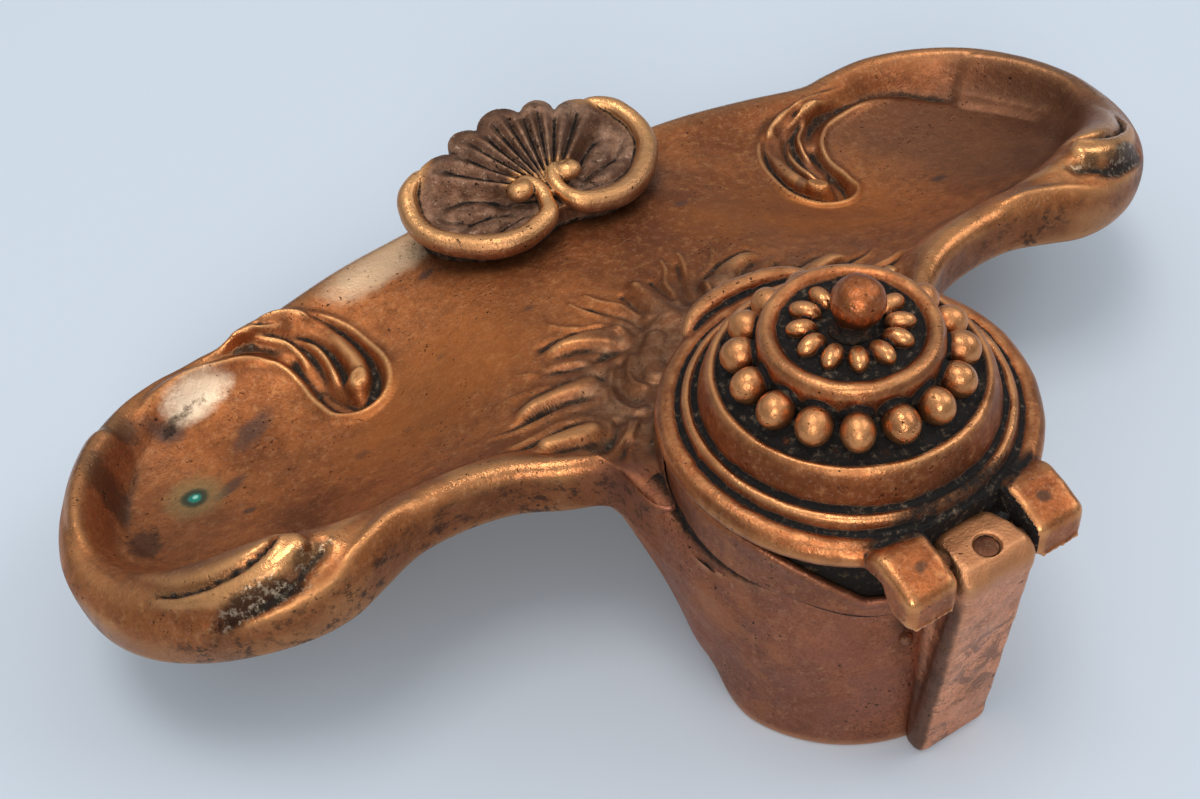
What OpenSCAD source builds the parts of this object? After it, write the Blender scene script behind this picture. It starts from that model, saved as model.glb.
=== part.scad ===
// Cast copper desk inkstand: a crescent pen tray with a shell on its front edge, and a round
// inkwell with a hinged, beaded lid on its inner side.
// Millimetres, +Z up. The origin is the centre of the cup's foot on the table. The writer sits
// on the -Y side, the hinge is on the +Y side, and +X runs along the tray.

/* [Cup] */
// Height of the cup's rim above the table
cup_h = 49.9; // [46:0.1:56]
// Outer radius of the cup at its foot
cup_foot_r = 26.6; // [24.5:0.1:27]
// Outer radius of the cup inside the collar
cup_top_r = 27.2; // [26:0.1:29]
// Thickness of the cup's wall
cup_wall = 2.2; // [1.6:0.1:3]
// Thickness of the cup's floor
cup_floor = 3; // [2:0.1:6]
// Depth of the ledge that carries the ink liner, below the rim
ledge_drop = 3.4; // [2.4:0.1:6]
// Width of that ledge
ledge_w = 2; // [1.2:0.1:3]
// How far the cup's front flares out under the tray
flare_out = 6.6; // [3:0.1:7]
// How much the flare widens for each mm that it moves out
flare_grow = 0.95; // [0.6:0.05:1]

/* [Collar] */
// Thickness of the collar round the cup's mouth
collar_t = 1.4; // [1:0.1:3]
// Height of the collar
collar_h = 9.8; // [7:0.1:10]
// How far the collar's top lies below the cup's rim
collar_drop = 0.8; // [0.4:0.1:2.5]
// Radius of the curve that lowers the collar's top towards the hinge, outside the ears
collar_dip_r = 21.7; // [21:0.1:26]
// Gap that the solder fills where castings meet
seam = 0.04; // [0.02:0.01:0.1]

/* [Liner] */
// Thickness of the glass
glass_t = 1.8; // [1.2:0.1:2.6]
// Play between the glass and the cup
glass_play = 0.4; // [0.2:0.1:1]
// Thickness of the liner's flange
flange_t = 2; // [1.2:0.1:2.2]
// Depth of the liner below its flange
liner_depth = 40; // [20:0.5:41]

/* [Lid] */
// Outer radius of the lid's rolled rim
lid_r = 30; // [29.6:0.1:33]
// Gap between the cup's rim and the closed lid
lid_gap = 0.3; // [0.2:0.1:1]
// Radius of the rolled rim's section
lid_roll = 2.3; // [1.8:0.1:2.6]
// Height of the lid's outer crest above its seat
crest_h = 11.2; // [9:0.1:14]
// Height of the inner ring above the lid's seat
ring_h = 18.8; // [17:0.1:22]
// Radius of the inner ring's centre line
ring_r = 12.6; // [12:0.1:13.4]
// Thickness of the lid's wall
lid_wall = 2.2; // [1.6:0.1:2.4]
// Number of large beads
big_beads = 16; // [12:1:17]
// Radius of the circle of large beads
big_bead_ring = 17.1; // [16.8:0.1:17.6]
// Radius of a large bead
big_bead_r = 3; // [2.6:0.1:3.2]
// Number of small beads
small_beads = 12; // [8:1:13]
// Radius of the circle of small beads
small_bead_ring = 7.5; // [7.2:0.1:7.8]
// Radius of a small bead
small_bead_r = 1.7; // [1.4:0.1:1.9]
// Radius of the finial's ball
ball_r = 4.1; // [3.4:0.1:4.8]
// How far the thumb lip stands out from the lid's rim
lip_out = 3.4; // [2.6:0.1:5]

/* [Hinge] */
// Distance of the hinge pin from the wall of the cup's mouth
hinge_out = 4.8; // [4.4:0.1:6.6]
// Height of the hinge pin above the cup's rim, negative when it lies lower
hinge_rise = -1.9; // [-2.4:0.1:-1.6]
// Diameter of the hinge pin
pin_d = 2.2; // [1.6:0.1:2.4]
// Running clearance on the radius between pin and ears
pin_play = 0.05; // [0.02:0.01:0.1]
// Half width of the hinge post at its foot
post_foot_w = 6.9; // [6:0.1:7.1]
// Half width of the hinge post at its head
post_head_w = 6.6; // [6:0.1:7.1]
// Gap between the post and each ear
ear_gap = 0.6; // [0.3:0.1:1.2]
// Width of each ear
ear_w = 8.2; // [5:0.1:9]
// How far each ear's square end reaches beyond the pin and below it
ear_end = 3.3; // [2.8:0.1:3.6]
// How far the post's foot stands out from the cup's foot
post_foot_out = 3.2; // [2.4:0.1:4.6]
// Diameter of the plug in the post's head
plug_d = 4; // [2.5:0.1:4.6]

/* [Tray] */
// Overall width of the tray
tray_w = 224; // [210:1:240]
// Distance from the cup's axis to the tray's front edge
tray_reach = 109.6; // [104:0.2:116]
// Thickness of the cast sheet
sheet_t = 2.4; // [1.8:0.1:2.5]
// Height of the floor in the middle of the tray, under the shell
mid_floor_z = 31.2; // [30:0.1:32]
// Rise of the middle floor towards the cup, in mm per mm
mid_slope = 0.12; // [0.1:0.01:0.15]
// How far the floor swells up to meet the shell
shell_mound = 1.2; // [0:0.1:2.5]
// Height of the lowest place in each wing
wing_floor_z = 23.6; // [22:0.1:25]
// Height of the tray's joint with the collar, below the collar's top
joint_drop = 6.2; // [5.8:0.1:6.6]

/* [Shell] */
// Height of the shell's front lobe above the table
shell_z = 44.8; // [44:0.1:50]
// Reach of the shell from its own centre to the front lobe
shell_r = 22.4; // [20:0.1:25]
// Depth of the grooves between the shell's ribs
rib_depth = 0.7; // [0.2:0.1:1]

/* [Feet] */
// Distance of each front foot from the middle
foot_x = 50; // [40:0.5:60]
// Distance of the front feet ahead of the cup's axis
foot_y = 88; // [82:0.5:94]
// Radius of a foot at the table
foot_r = 4.5; // [3.5:0.1:6]

/* [Hidden] */
$fn = 96;

copper = "#9a5a33";
dull_copper = "#80523f";
bright_copper = "#b9703c";

// Levels and radii that several pieces share
collar_top = cup_h - collar_drop;
collar_in = cup_top_r + seam;
collar_out = collar_in + collar_t;
crease_z = collar_top - collar_h;
bore_r = cup_top_r - cup_wall;
ledge_z = cup_h - ledge_drop;
liner_r = bore_r - ledge_w - glass_play;
seat_z = cup_h + lid_gap;
hinge_y = cup_top_r + hinge_out;
post_foot_y = cup_foot_r + post_foot_out;
hinge_z = cup_h + hinge_rise;
pin_r = pin_d / 2;
ear_in = post_head_w + ear_gap;
ear_out = ear_in + ear_w;
post_head_y = hinge_y + 4.3;
post_top = cup_h + 0.8;
post_round = 2.2;
pin_half = ear_out - 0.8;

// Small helpers for curves
function smooth(t) = let (c = min(1, max(0, t))) c * c * (3 - 2 * c);
function mix(a, b, t) = a + (b - a) * t;
function arc(cx, cy, r, a0, a1, n) = [for (i = [0:n]) let (a = mix(a0, a1, i / n)) [cx + r * cos(a), cy + r * sin(a)]];
function spline(p, i, t) =
    let (a = p[max(i - 1, 0)], b = p[i], c = p[i + 1], d = p[min(i + 2, len(p) - 1)])
    0.5 * (2 * b + (c - a) * t + (2 * a - 5 * b + 4 * c - d) * t * t + (3 * b - a - 3 * c + d) * t * t * t);

// The tray's outline, from the middle of the front edge round one wing to the collar.
// Each row: x, y, height of the rim's crest, radius of its roll, depth of the skirt, width of
// the inner slope, and how far the roll has opened out (1 at the rim, 0 at the collar).
sx = tray_w / 224;
sy = tray_reach / 109.6;
rim_rows = [
    [-12, -109.3, 29.5, 2.6, 9, 6, 1], [0, -109.6, 29.5, 2.6, 9, 6, 1],
    [12, -109.3, 29.5, 2.6, 9, 6, 1], [26, -108.0, 29.5, 2.6, 9, 6, 1],
    [40, -106.4, 29.5, 2.6, 9.5, 6, 1], [54, -103.6, 29.0, 2.6, 10, 6, 1],
    [66.5, -100.4, 28.5, 2.6, 10, 6, 1], [73, -100.2, 29.0, 2.6, 10, 6, 1],
    [82, -98.4, 30.5, 2.8, 10.5, 6, 1], [92, -93.4, 31.5, 3.0, 11, 6, 1],
    [101, -86.0, 32.0, 3.2, 11, 6, 1], [107.6, -76.6, 32.2, 3.6, 11, 6, 1],
    [111.4, -67, 32.2, 4.0, 11, 6, 1], [112, -59, 32.4, 4.5, 11, 6.5, 1],
    [110.4, -50, 33.5, 5.5, 11, 7.5, 1], [106.2, -41.6, 36.0, 7, 12, 9, 1],
    [99.6, -34, 39.8, 8.5, 13.5, 10, 1], [91.6, -28.4, 43.0, 9.5, 14.5, 10, 1],
    [83.4, -25.6, 44.0, 9, 14.5, 9, 1], [76.4, -25.4, 43.4, 6.5, 13.5, 8, 1],
    [70, -27.2, 42.6, 4, 12, 7, 1], [62, -29.6, 42.2, 3, 11, 7, 1],
    [53, -29.8, 42.0, 2.8, 11, 7, 1], [45, -28, 41.8, 2.8, 11, 6.5, 1],
    [39, -24.4, 41.6, 2.8, 10.8, 5, 1]];
// The last rows taper into the collar, so their place follows its radius.
// Each row: angle, distance from the collar, roll, skirt, inner slope, opening of the roll.
joint_z = collar_top - joint_drop;
// The tray's edge is made of short straight steps, so it stands off the round collar a little more
tray_r = collar_out + seam + 0.13;
collar_side = [for (r = [[-31.5, 8.4, 2.4, 11, 2, 1], [-24.5, 5.6, 1.9, 11, 1.2, 1],
                         [-18.5, 4, 1.5, 10.4, 0.8, 0.8], [-14, 3.2, 1.2, 9, 0.5, 0.5]])
    [(tray_r + r[1]) * cos(r[0]), (tray_r + r[1]) * sin(r[0]), joint_z - 0.4,
     r[2], r[3], r[4], r[5]]];
arc_start = -12;
arc_steps = 14;
collar_arc = [for (i = [0:arc_steps]) let (a = mix(arc_start, -90, i / arc_steps))
    [tray_r * cos(a), tray_r * sin(a), joint_z - 0.4 + 0.6 * smooth(i / 5),
     2.4, mix(7, sheet_t + 0.6, smooth(i / 3)), mix(0.5, 6, smooth((i - 1) / 8)), 0.25]];
rim_ctrl = concat([for (r = rim_rows) [r[0] * sx, r[1] * (r[1] < -60 ? sy : 1), r[2], r[3], r[4], r[5], r[6]]],
                  collar_side, collar_arc);
tip_row = 13;
per_seg = 6;
// Points on the finished curve, then the same curve in equal steps on both sides of the tip
function walk(p, i0, i1) = [for (i = [i0:i1 - 1], k = [0:per_seg - 1]) spline(p, i, k / per_seg)];
front_fine = concat(walk(rim_ctrl, 1, tip_row), [rim_ctrl[tip_row]]);
rear_fine = concat(walk(rim_ctrl, tip_row, len(rim_ctrl) - 1), [rim_ctrl[len(rim_ctrl) - 1]]);
function plan(p) = [p[0], p[1]];
function run(p, i = 0, s = 0) = i >= len(p) - 1 ? [s] :
    concat([s], run(p, i + 1, s + norm(plan(p[i + 1]) - plan(p[i]))));
function even(p, n) =
    let (s = run(p), total = s[len(s) - 1])
    [for (j = [0:n]) [for (c = [0:6]) lookup(j / n * total, [for (i = [0:len(p) - 1]) [s[i], p[i][c]]])]];
// Points on each quarter of the outline
quarter = 38;
front_half = even(front_fine, quarter);
rear_half = even(rear_fine, quarter);
function flip(p) = [-p[0], p[1], p[2], p[3], p[4], p[5], p[6]];
// The closed outline runs from the left tip along the front to the right tip, and back
outline = concat([for (j = [quarter:-1:1]) front_half[j]],
                 [for (j = [0:quarter - 1]) flip(front_half[j])],
                 [for (j = [0:quarter - 1]) flip(rear_half[j])],
                 [for (j = [quarter:-1:1]) rear_half[j]]);
count = len(outline);
// Each outline point has a partner on the tray's middle line, shared by front and rear
function spine(i) = let (k = i <= count / 2 ? i : count - i, t = 1 - k / (count / 4))
    [94 * sx * t, -67 + 4 * t * t];
// The step towards that partner which leads one millimetre away from the rim
in_step = [for (i = [0:count - 1])
    let (a = plan(outline[(i + count - 1) % count]), b = plan(outline[(i + 1) % count]), d = (b - a) / norm(b - a),
         to = spine(i) - plan(outline[i]), u = to / norm(to))
    u / max(0.75, u * [d[1], -d[0]])];

// Height of the tray's floor away from its rim
function floor_z(x, y) =
    let (mid = mid_floor_z + mid_slope * (y + 80), dip = wing_floor_z + 0.0095 * pow(min(y, -34) + 76, 2))
    mix(mid, dip, smooth((abs(x) - 18) / 42)) + shell_mound * exp(-pow(x / 30, 2) - pow((y + 88) / 13, 2));
// A rim point moved inwards by d, at a height z
function inset(i, d, z) = let (p = plan(outline[i]) + in_step[i] * d) [p[0], p[1], z];
function on_floor(p, drop = 0) = [p[0], p[1], floor_z(p[0], p[1]) - drop];
function roll_ring(a) = [for (i = [0:count - 1]) let (o = outline[i])
    inset(i, o[6] * o[3] * (1 - cos(a)), o[2] - o[6] * o[3] * (1 - sin(a)))];
function slope_ring(e, drop) = [for (i = [0:count - 1]) let (o = outline[i],
    p = inset(i, o[6] * o[3] + e * o[5], 0), f = on_floor(p)) [p[0], p[1], mix(o[2], f[2], smooth(e)) - drop]];
function floor_ring(g, drop) = [for (i = [0:count - 1]) let (o = outline[i],
    p = inset(i, o[6] * o[3] + o[5], 0), s = spine(i))
    on_floor([mix(p[0], s[0], g), mix(p[1], s[1], g), 0], drop)];
function under_ring(k, f) = [for (i = [0:count - 1])
    let (o = outline[i], p = inset(i, o[6] * o[3] + o[5], 0), low = o[2] - o[4],
         high = min(o[2], floor_z(p[0], p[1]) + 0.9 * o[5]) - sheet_t)
    inset(i, o[6] * mix(min(sheet_t, 0.8 * o[3]), o[3], k), mix(low, high, f))];
skirt_ring = [for (i = [0:count - 1]) let (o = outline[i]) inset(i, o[6] * min(0.8, 0.3 * o[3]), o[2] - o[4])];

tray_rings = [
    skirt_ring, roll_ring(0), roll_ring(35), roll_ring(65), roll_ring(90),
    slope_ring(0.35, 0), slope_ring(0.7, 0), slope_ring(1, 0),
    floor_ring(0.25, 0), floor_ring(0.5, 0), floor_ring(0.75, 0), floor_ring(1, 0),
    floor_ring(1, sheet_t), floor_ring(0.66, sheet_t), floor_ring(0.33, sheet_t),
    slope_ring(1, sheet_t), slope_ring(0.5, sheet_t),
    under_ring(1, 1), under_ring(0.3, 0.9), under_ring(0, 0.7), under_ring(0, 0)];

top_seam = 11;
// Faces between neighbouring rings, none across the middle line where the sheet is closed. The
// diagonals mirror each other and lean away from both tips.
function strip(a, b) = [for (i = [0:count - 1]) let (j = (i + 1) % count, m = a * count, n = b * count)
    each ((i % (2 * quarter) < quarter) == (a < top_seam)
          ? [[m + i, m + j, n + i], [m + j, n + j, n + i]]
          : [[m + i, n + j, n + i], [m + i, m + j, n + j]])];
module pen_tray() {
    n = len(tray_rings);
    color(copper)
        polyhedron(points = [for (r = tray_rings) each r],
                   faces = [for (k = [0:n - 1]) if (k != top_seam) each strip(k, (k + 1) % n)],
                   convexity = 8);
}

// The shell spreads from a centre on the tray's front edge. Rows: angle from the front, reach,
// height of the edge, height of the raised border.
shell_c = [0, -90 * sy];
shell_rows = [
    [0, 1, 0, 0], [28, 1.04, -1.2, 0], [50, 1.17, -3.4, 0.2], [68, 1.35, -5.4, 1], [80, 1.24, -7.6, 1.6],
    [92, 1.0, -9.2, 2], [106, 0.78, -10, 2.2], [125, 0.62, -10.6, 2.2], [148, 0.42, -11.4, 1.6],
    [170, 0.22, -11.4, 0.6], [180, 0.17, -11.3, 0]];
function shell_at(a, c) = lookup(abs(a), [for (r = shell_rows) [r[0], r[c]]]);
shell_steps = 60;
shell_levels = [0.12, 0.3, 0.5, 0.66, 0.78, 0.88, 0.95, 1];
shell_mid_z = shell_z - 6.4;
function shell_xy(k, i) = let (a = -180 + 360 * i / shell_steps, r = shell_r * shell_at(a, 1) * shell_levels[k])
    [shell_c[0] + r * sin(a), shell_c[1] - r * cos(a)];
function shell_top(k, i) =
    let (a = -180 + 360 * i / shell_steps, t = shell_levels[k], edge = shell_z + shell_at(a, 2),
         lobe = abs(a) < 66 ? cos(a * 360 / 22) : 0)
    mix(shell_mid_z, edge, t) - 2.2 * sin(180 * t) * (1 - smooth((abs(a) - 120) / 40))
    + rib_depth * lobe * smooth(t * 1.6) + shell_at(a, 3) * smooth((t - 0.7) / 0.2) * (t > 0.97 ? 0.3 : 1);
// Height of the tray's surface under the shell, with the rolled front rim
function tray_under(x, y) =
    let (edge = -(109.6 - 0.0023 * x * x) * sy, d = y - edge, e = (d - 2.6) / 6)
    max(floor_z(x, y), mix(29.5, floor_z(x, y), smooth(e)));
shell_seat = 0.4;
function shell_low(k, i) =
    let (p = shell_xy(k, i), d = p[1] + (109.6 - 0.0023 * p[0] * p[0]) * sy, top = shell_top(k, i))
    min(top - 1.2, mix(top - 2.6, tray_under(p[0], p[1]) + shell_seat, smooth((d - 0.5) / 2.5)));
module shell_mount() {
    m = len(shell_levels);
    s = shell_steps;
    up = [for (k = [0:m - 1], i = [0:s - 1]) let (p = shell_xy(k, i)) [p[0], p[1], shell_top(k, i)]];
    down = [for (k = [0:m - 1], i = [0:s - 1]) let (p = shell_xy(k, i)) [p[0], p[1], shell_low(k, i)]];
    mid = [[shell_c[0], shell_c[1], shell_mid_z], [shell_c[0], shell_c[1], tray_under(0, shell_c[1]) + shell_seat]];
    low = m * s;
    hub = 2 * m * s;
    color(bright_copper)
        polyhedron(points = concat(up, down, mid), faces = concat(
            [for (k = [0:m - 2], i = [0:s - 1]) let (j = (i + 1) % s, a = k * s, b = a + s)
                each [[a + i, b + j, b + i], [a + i, a + j, b + j]]],
            [for (k = [0:m - 2], i = [0:s - 1]) let (j = (i + 1) % s, a = low + k * s, b = a + s)
                each [[a + i, b + i, b + j], [a + i, b + j, a + j]]],
            [for (i = [0:s - 1]) let (j = (i + 1) % s, a = (m - 1) * s, b = low + a)
                each [[a + i, b + j, b + i], [a + i, a + j, b + j]]],
            [for (i = [0:s - 1]) let (j = (i + 1) % s) each [[hub, j, i], [hub + 1, low + i, low + j]]]),
            convexity = 6);
}

// The space that the hinge post takes beside the cup
module post_space(grow) {
    w = max(post_foot_w, post_head_w) + grow;
    translate([-w, 20, -1])
        cube([2 * w, 20, cup_h + 10]);
}

// Outside the ears the collar's top falls away in a curve towards the hinge.
module collar_dip(side) {
    dip_y = 7;
    mirror([side, 0, 0])
        translate([ear_out + 0.6, 0, 0])
            difference() {
                translate([0, dip_y, crease_z + 1.6])
                    cube([20, 30, collar_h]);
                translate([-1, dip_y, collar_top - collar_dip_r])
                    rotate([0, 90, 0])
                        cylinder(h = 30, r = collar_dip_r);
            }
}

module cup_collar() {
    bulge = 0.5;
    color(bright_copper)
        difference() {
            rotate_extrude()
                polygon(concat(
                    [[collar_in, crease_z], [collar_out - bulge, crease_z]],
                    arc(collar_out - bulge, crease_z + bulge, bulge, -80, 0, 4),
                    arc(collar_out - bulge, collar_top - bulge, bulge, 0, 90, 5),
                    [[collar_in, collar_top]]));
            post_space(seam);
            for (side = [0, 1])
                collar_dip(side);
        }
}

// The cup flares out towards the tray, as an oblique cone that meets the tray's skirt.
flare_low = 7;
flare_top = joint_z - 0.4 - 11 - 0.35;
module cup_flare() {
    rise = flare_top - flare_low;
    lean = atan(flare_out / rise);
    grow = flare_out * flare_grow;
    wide = cup_foot_r - 0.7 + grow;
    intersection() {
        translate([0, 0.2, flare_low])
            rotate([lean, 0, 0])
                translate([0, 0, -6])
                    cylinder(h = rise + 16, r1 = cup_foot_r - 0.7 - grow * 6 / rise,
                             r2 = cup_foot_r - 0.7 + grow * (rise + 10) / rise);
        translate([-50, -60, flare_low - 1])
            cube([100, 100, rise + 1]);
    }
    // Beyond the tray's skirt the flare dies back into the wall below the collar
    back = crease_z - flare_top;
    intersection() {
        translate([0, -flare_out, flare_top])
            rotate([-atan(flare_out / back), 0, 0])
                translate([0, 0, -8])
                    cylinder(h = back + 8, r1 = wide + grow * 8 / back, r2 = cup_top_r - 0.6);
        translate([-50, -4.6, flare_top - 0.01])
            cube([100, 60, back - 0.4]);
    }
}

module inkwell_cup() {
    color(dull_copper)
        difference() {
            union() {
                rotate_extrude()
                    polygon([
                        [0, 0], [cup_foot_r - 0.6, 0], [cup_foot_r, 0.6], [cup_top_r, crease_z - 0.6],
                        [cup_top_r, cup_h - 0.5], [cup_top_r - 0.5, cup_h], [0, cup_h]]);
                cup_flare();
            }
            rotate_extrude()
                polygon([
                    [0, cup_h + 1], [bore_r, cup_h + 1], [bore_r, ledge_z], [bore_r - ledge_w, ledge_z],
                    [bore_r - ledge_w, cup_floor + 2], [bore_r - ledge_w - 2, cup_floor], [0, cup_floor]]);
        }
}

// The glass liner hangs by its flange on the ledge inside the cup.
module ink_liner() {
    low = max(ledge_z - liner_depth, cup_floor + glass_play);
    flange_r = bore_r - glass_play;
    color("#a8c4bc", 0.8)
        rotate_extrude()
            polygon([
                [0, low], [liner_r - 3, low], [liner_r - 0.9, low + 0.9], [liner_r, low + 3], [liner_r, ledge_z],
                [flange_r, ledge_z], [flange_r, ledge_z + flange_t], [liner_r - glass_t, ledge_z + flange_t],
                [liner_r - glass_t, low + glass_t + 2], [liner_r - glass_t - 2, low + glass_t], [0, low + glass_t]]);
}

// The post is a flat-faced bar that leans outwards, let into the collar and soldered to the cup.
module hinge_post() {
    depth = 24;
    head_in = cup_top_r + seam;
    color(dull_copper)
        difference() {
            intersection() {
                translate([-10, 0, 0])
                    rotate([90, 0, 90])
                        linear_extrude(20)
                            polygon(concat(
                                [[depth, 0], [post_foot_y - 0.8, 0], [post_foot_y, 0.8]],
                                arc(post_head_y - post_round, post_top - post_round - 1.2, post_round, 0, 70, 6),
                                arc(head_in + 1.2, post_top - 1.2, 1.2, 90, 180, 4),
                                [[head_in, cup_h - 2], [depth, cup_h - 2]]));
                translate([0, 45, 0])
                    rotate([90, 0, 0])
                        linear_extrude(30)
                            polygon(concat(
                                [[-post_foot_w, 0], [post_foot_w, 0]],
                                arc(post_head_w - post_round, post_top - post_round, post_round, 0, 90, 6),
                                arc(post_round - post_head_w, post_top - post_round, post_round, 90, 180, 6)));
            }
            translate([0, 0, -1])
                cylinder(h = crease_z + 0.4, r1 = cup_foot_r + seam, r2 = cup_top_r + seam);
            translate([0, 0, crease_z - 0.61])
                cylinder(h = cup_h, r = cup_top_r + seam);
            translate([-20, hinge_y, hinge_z])
                rotate([0, 90, 0])
                    cylinder(h = 40, r = pin_r + 0.01);
            translate([0, hinge_y, post_top - 0.9])
                cylinder(h = 5, r = plug_d / 2);
        }
}

// A round plug closes the core hole in the post's head.
module post_plug() {
    color(copper)
        translate([0, hinge_y, post_top - 0.9 + 0.02])
            cylinder(h = 0.7, r = plug_d / 2 - 0.03);
}

module hinge_pin() {
    color(dull_copper)
        translate([-pin_half, hinge_y, hinge_z])
            rotate([0, 90, 0])
                cylinder(h = 2 * pin_half, r = pin_r);
}

// The lid's section: rolled rim, two grooves with a thin ring, a hollow moulding up to the crest,
// the channel of the large beads, the inner ring, and the dish of the small beads.
ring_tube = 1.7;
crest_r = 21.6;
channel_h = crest_h - 1.6;
dish_h = ring_h - 1.2;
roll_c = lid_r - lid_roll;
// The ring of large beads starts off the lid's middle line
bead_turn = 10.8;
// Finial: radius of its hole in the lid, of its peened head and flange, and the flat boss under it
hole_r = 1.6;
peened_r = 2.6;
flange_out = 4.4;
boss_rise = 0.6;
boss_r = 4.8;
// Thumb lip: radius of its bead, centre of its arc and the angle it covers
lip_round = 1.9;
lip_mid = -92;
lip_angle = 46;
module lid_section() {
    s = seat_z;
    polygon(concat(
        [[bore_r - 0.4, s], [roll_c, s]],
        arc(roll_c, s + lid_roll, lid_roll, -80, 130, 10),
        [[roll_c - 2.2, s + 4.6]],
        arc(roll_c - 3.2, s + 5.2, 0.8, -20, 150, 5),
        [[roll_c - 4.4, s + 5.4], [roll_c - 4.7, s + 7.4], [crest_r + 1.0, s + crest_h - 0.9]],
        arc(crest_r, s + crest_h - 0.8, 0.8, 10, 160, 5),
        [[crest_r - 1.4, s + channel_h], [ring_r + ring_tube, s + channel_h + 1.2],
         [ring_r + ring_tube, s + ring_h - ring_tube]],
        arc(ring_r, s + ring_h - ring_tube, ring_tube, 10, 170, 8),
        [[ring_r - ring_tube, s + dish_h], [boss_r, s + dish_h + boss_rise], [0, s + dish_h + boss_rise],
         [0, s + dish_h - lid_wall], [peened_r + 0.6, s + dish_h - lid_wall],
         [ring_r - 1.6, s + dish_h - lid_wall - 0.6], [ring_r - 0.6, s + channel_h - lid_wall + 1.4],
         [crest_r - 2.2, s + channel_h - lid_wall], [bore_r - 3.2, s + 5.6], [bore_r - 0.4, s + 2]]));
}

// The square lower edge of the ear's end meets the collar when the lid is well past upright.
// That contact is the lid's stop, a few degrees beyond 120.
module ear() {
    root_z = seat_z + 5.6;
    ear_root = cup_top_r - 4.6;
    end_y = hinge_y + ear_end;
    end_z = hinge_z - ear_end + 0.3;
    round_r = 2.4;
    rotate([90, 0, 90])
        linear_extrude(ear_w)
            polygon(concat(
                [[ear_root, seat_z + 2], [ear_root, root_z], [ear_root + 3.2, root_z]],
                arc(end_y - round_r, hinge_z + ear_end - round_r, round_r, 66, 0, 6),
                [[end_y, end_z], [hinge_y - 1.5, end_z], [hinge_y - ear_end, hinge_z + 0.3],
                 [hinge_y - ear_end - 0.6, seat_z], [ear_root + 3, seat_z]]));
}

module lid() {
    step_big = 360 / big_beads;
    step_small = 360 / small_beads;
    color(bright_copper)
        difference() {
            union() {
                difference() {
                    rotate_extrude()
                        lid_section();
                    // The rim is cut back between the ears, round the post's head
                    translate([-ear_in, cup_top_r - 0.8, seat_z - 1])
                        cube([2 * ear_in, 10, 7.2]);
                }
                for (i = [0:big_beads - 1])
                    rotate([0, 0, bead_turn + i * step_big])
                        translate([big_bead_ring, 0, seat_z + channel_h + 2.4])
                            sphere(r = big_bead_r);
                for (i = [0:small_beads - 1])
                    rotate([0, 0, i * step_small])
                        translate([small_bead_ring, 0, seat_z + dish_h + 0.9])
                            sphere(r = small_bead_r);
                for (side = [0, 1])
                    mirror([side, 0, 0])
                        translate([ear_in, 0, 0])
                            ear();
                rotate([0, 0, lip_mid - lip_angle / 2])
                    rotate_extrude(angle = lip_angle)
                        translate([lid_r + lip_out - lip_round, seat_z + lid_roll + 1.2])
                            circle(r = lip_round);
                for (side = [-1, 1])
                    rotate([0, 0, lip_mid + side * lip_angle / 2])
                        translate([lid_r + lip_out - lip_round, 0, seat_z + lid_roll + 1.2])
                            sphere(r = lip_round + 0.3);
                rotate([0, 0, lip_mid - lip_angle / 2 + 2])
                    rotate_extrude(angle = lip_angle - 4)
                        translate([roll_c - 0.3, seat_z + lid_roll - 0.4])
                            square([lip_out, 1.8]);
            }
            translate([-20, hinge_y, hinge_z])
                rotate([0, 90, 0])
                    cylinder(h = 40, r = pin_r + pin_play);
            translate([0, 0, seat_z + dish_h - 6])
                cylinder(h = 12, r = hole_r);
        }
}

// The ball finial is turned, with a shank through the lid that is peened over inside.
module finial() {
    base = seat_z + dish_h + boss_rise + seam;
    under = seat_z + dish_h - lid_wall - seam;
    color(bright_copper)
        union() {
            translate([0, 0, base + 2.2 + ball_r])
                sphere(r = ball_r);
            rotate_extrude()
                polygon([
                    [0, under - 1.2], [peened_r - 0.4, under - 1.2], [peened_r, under - 0.8], [peened_r, under],
                    [hole_r - seam, under], [hole_r - seam, base], [flange_out, base], [flange_out, base + 0.8],
                    [2.9, base + 1.6], [2.7, base + 3.2], [0, base + 3.2]]);
        }
}

module front_foot() {
    top = floor_z(foot_x, -foot_y) - sheet_t;
    rise_x = (floor_z(foot_x + 1, -foot_y) - floor_z(foot_x - 1, -foot_y)) / 2;
    rise_y = (floor_z(foot_x, 1 - foot_y) - floor_z(foot_x, -1 - foot_y)) / 2;
    color(copper)
        translate([foot_x, -foot_y, 0])
            difference() {
                rotate_extrude()
                    polygon([
                        [0, 0], [foot_r - 0.7, 0], [foot_r, 0.8], [foot_r, 3], [foot_r - 0.8, 4.2], [foot_r - 1.6, 6],
                        [foot_r - 1.2, top - 4], [foot_r + 0.6, top - 1], [foot_r + 0.6, top + 4], [0, top + 4]]);
                translate([0, 0, top - 0.15])
                    rotate([atan(rise_y), -atan(rise_x), 0])
                        translate([-15, -15, 0])
                            cube([30, 30, 20]);
            }
}

module front_foot_left() { front_foot(); }
module front_foot_right() { mirror([1, 0, 0]) front_foot(); }

pen_tray();
shell_mount();
cup_collar();
inkwell_cup();
ink_liner();
hinge_post();
post_plug();
hinge_pin();
lid();
finial();
front_foot_left();
front_foot_right();
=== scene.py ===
import math

import bmesh
import bpy
import numpy as np
from mathutils import Matrix, Vector


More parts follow.
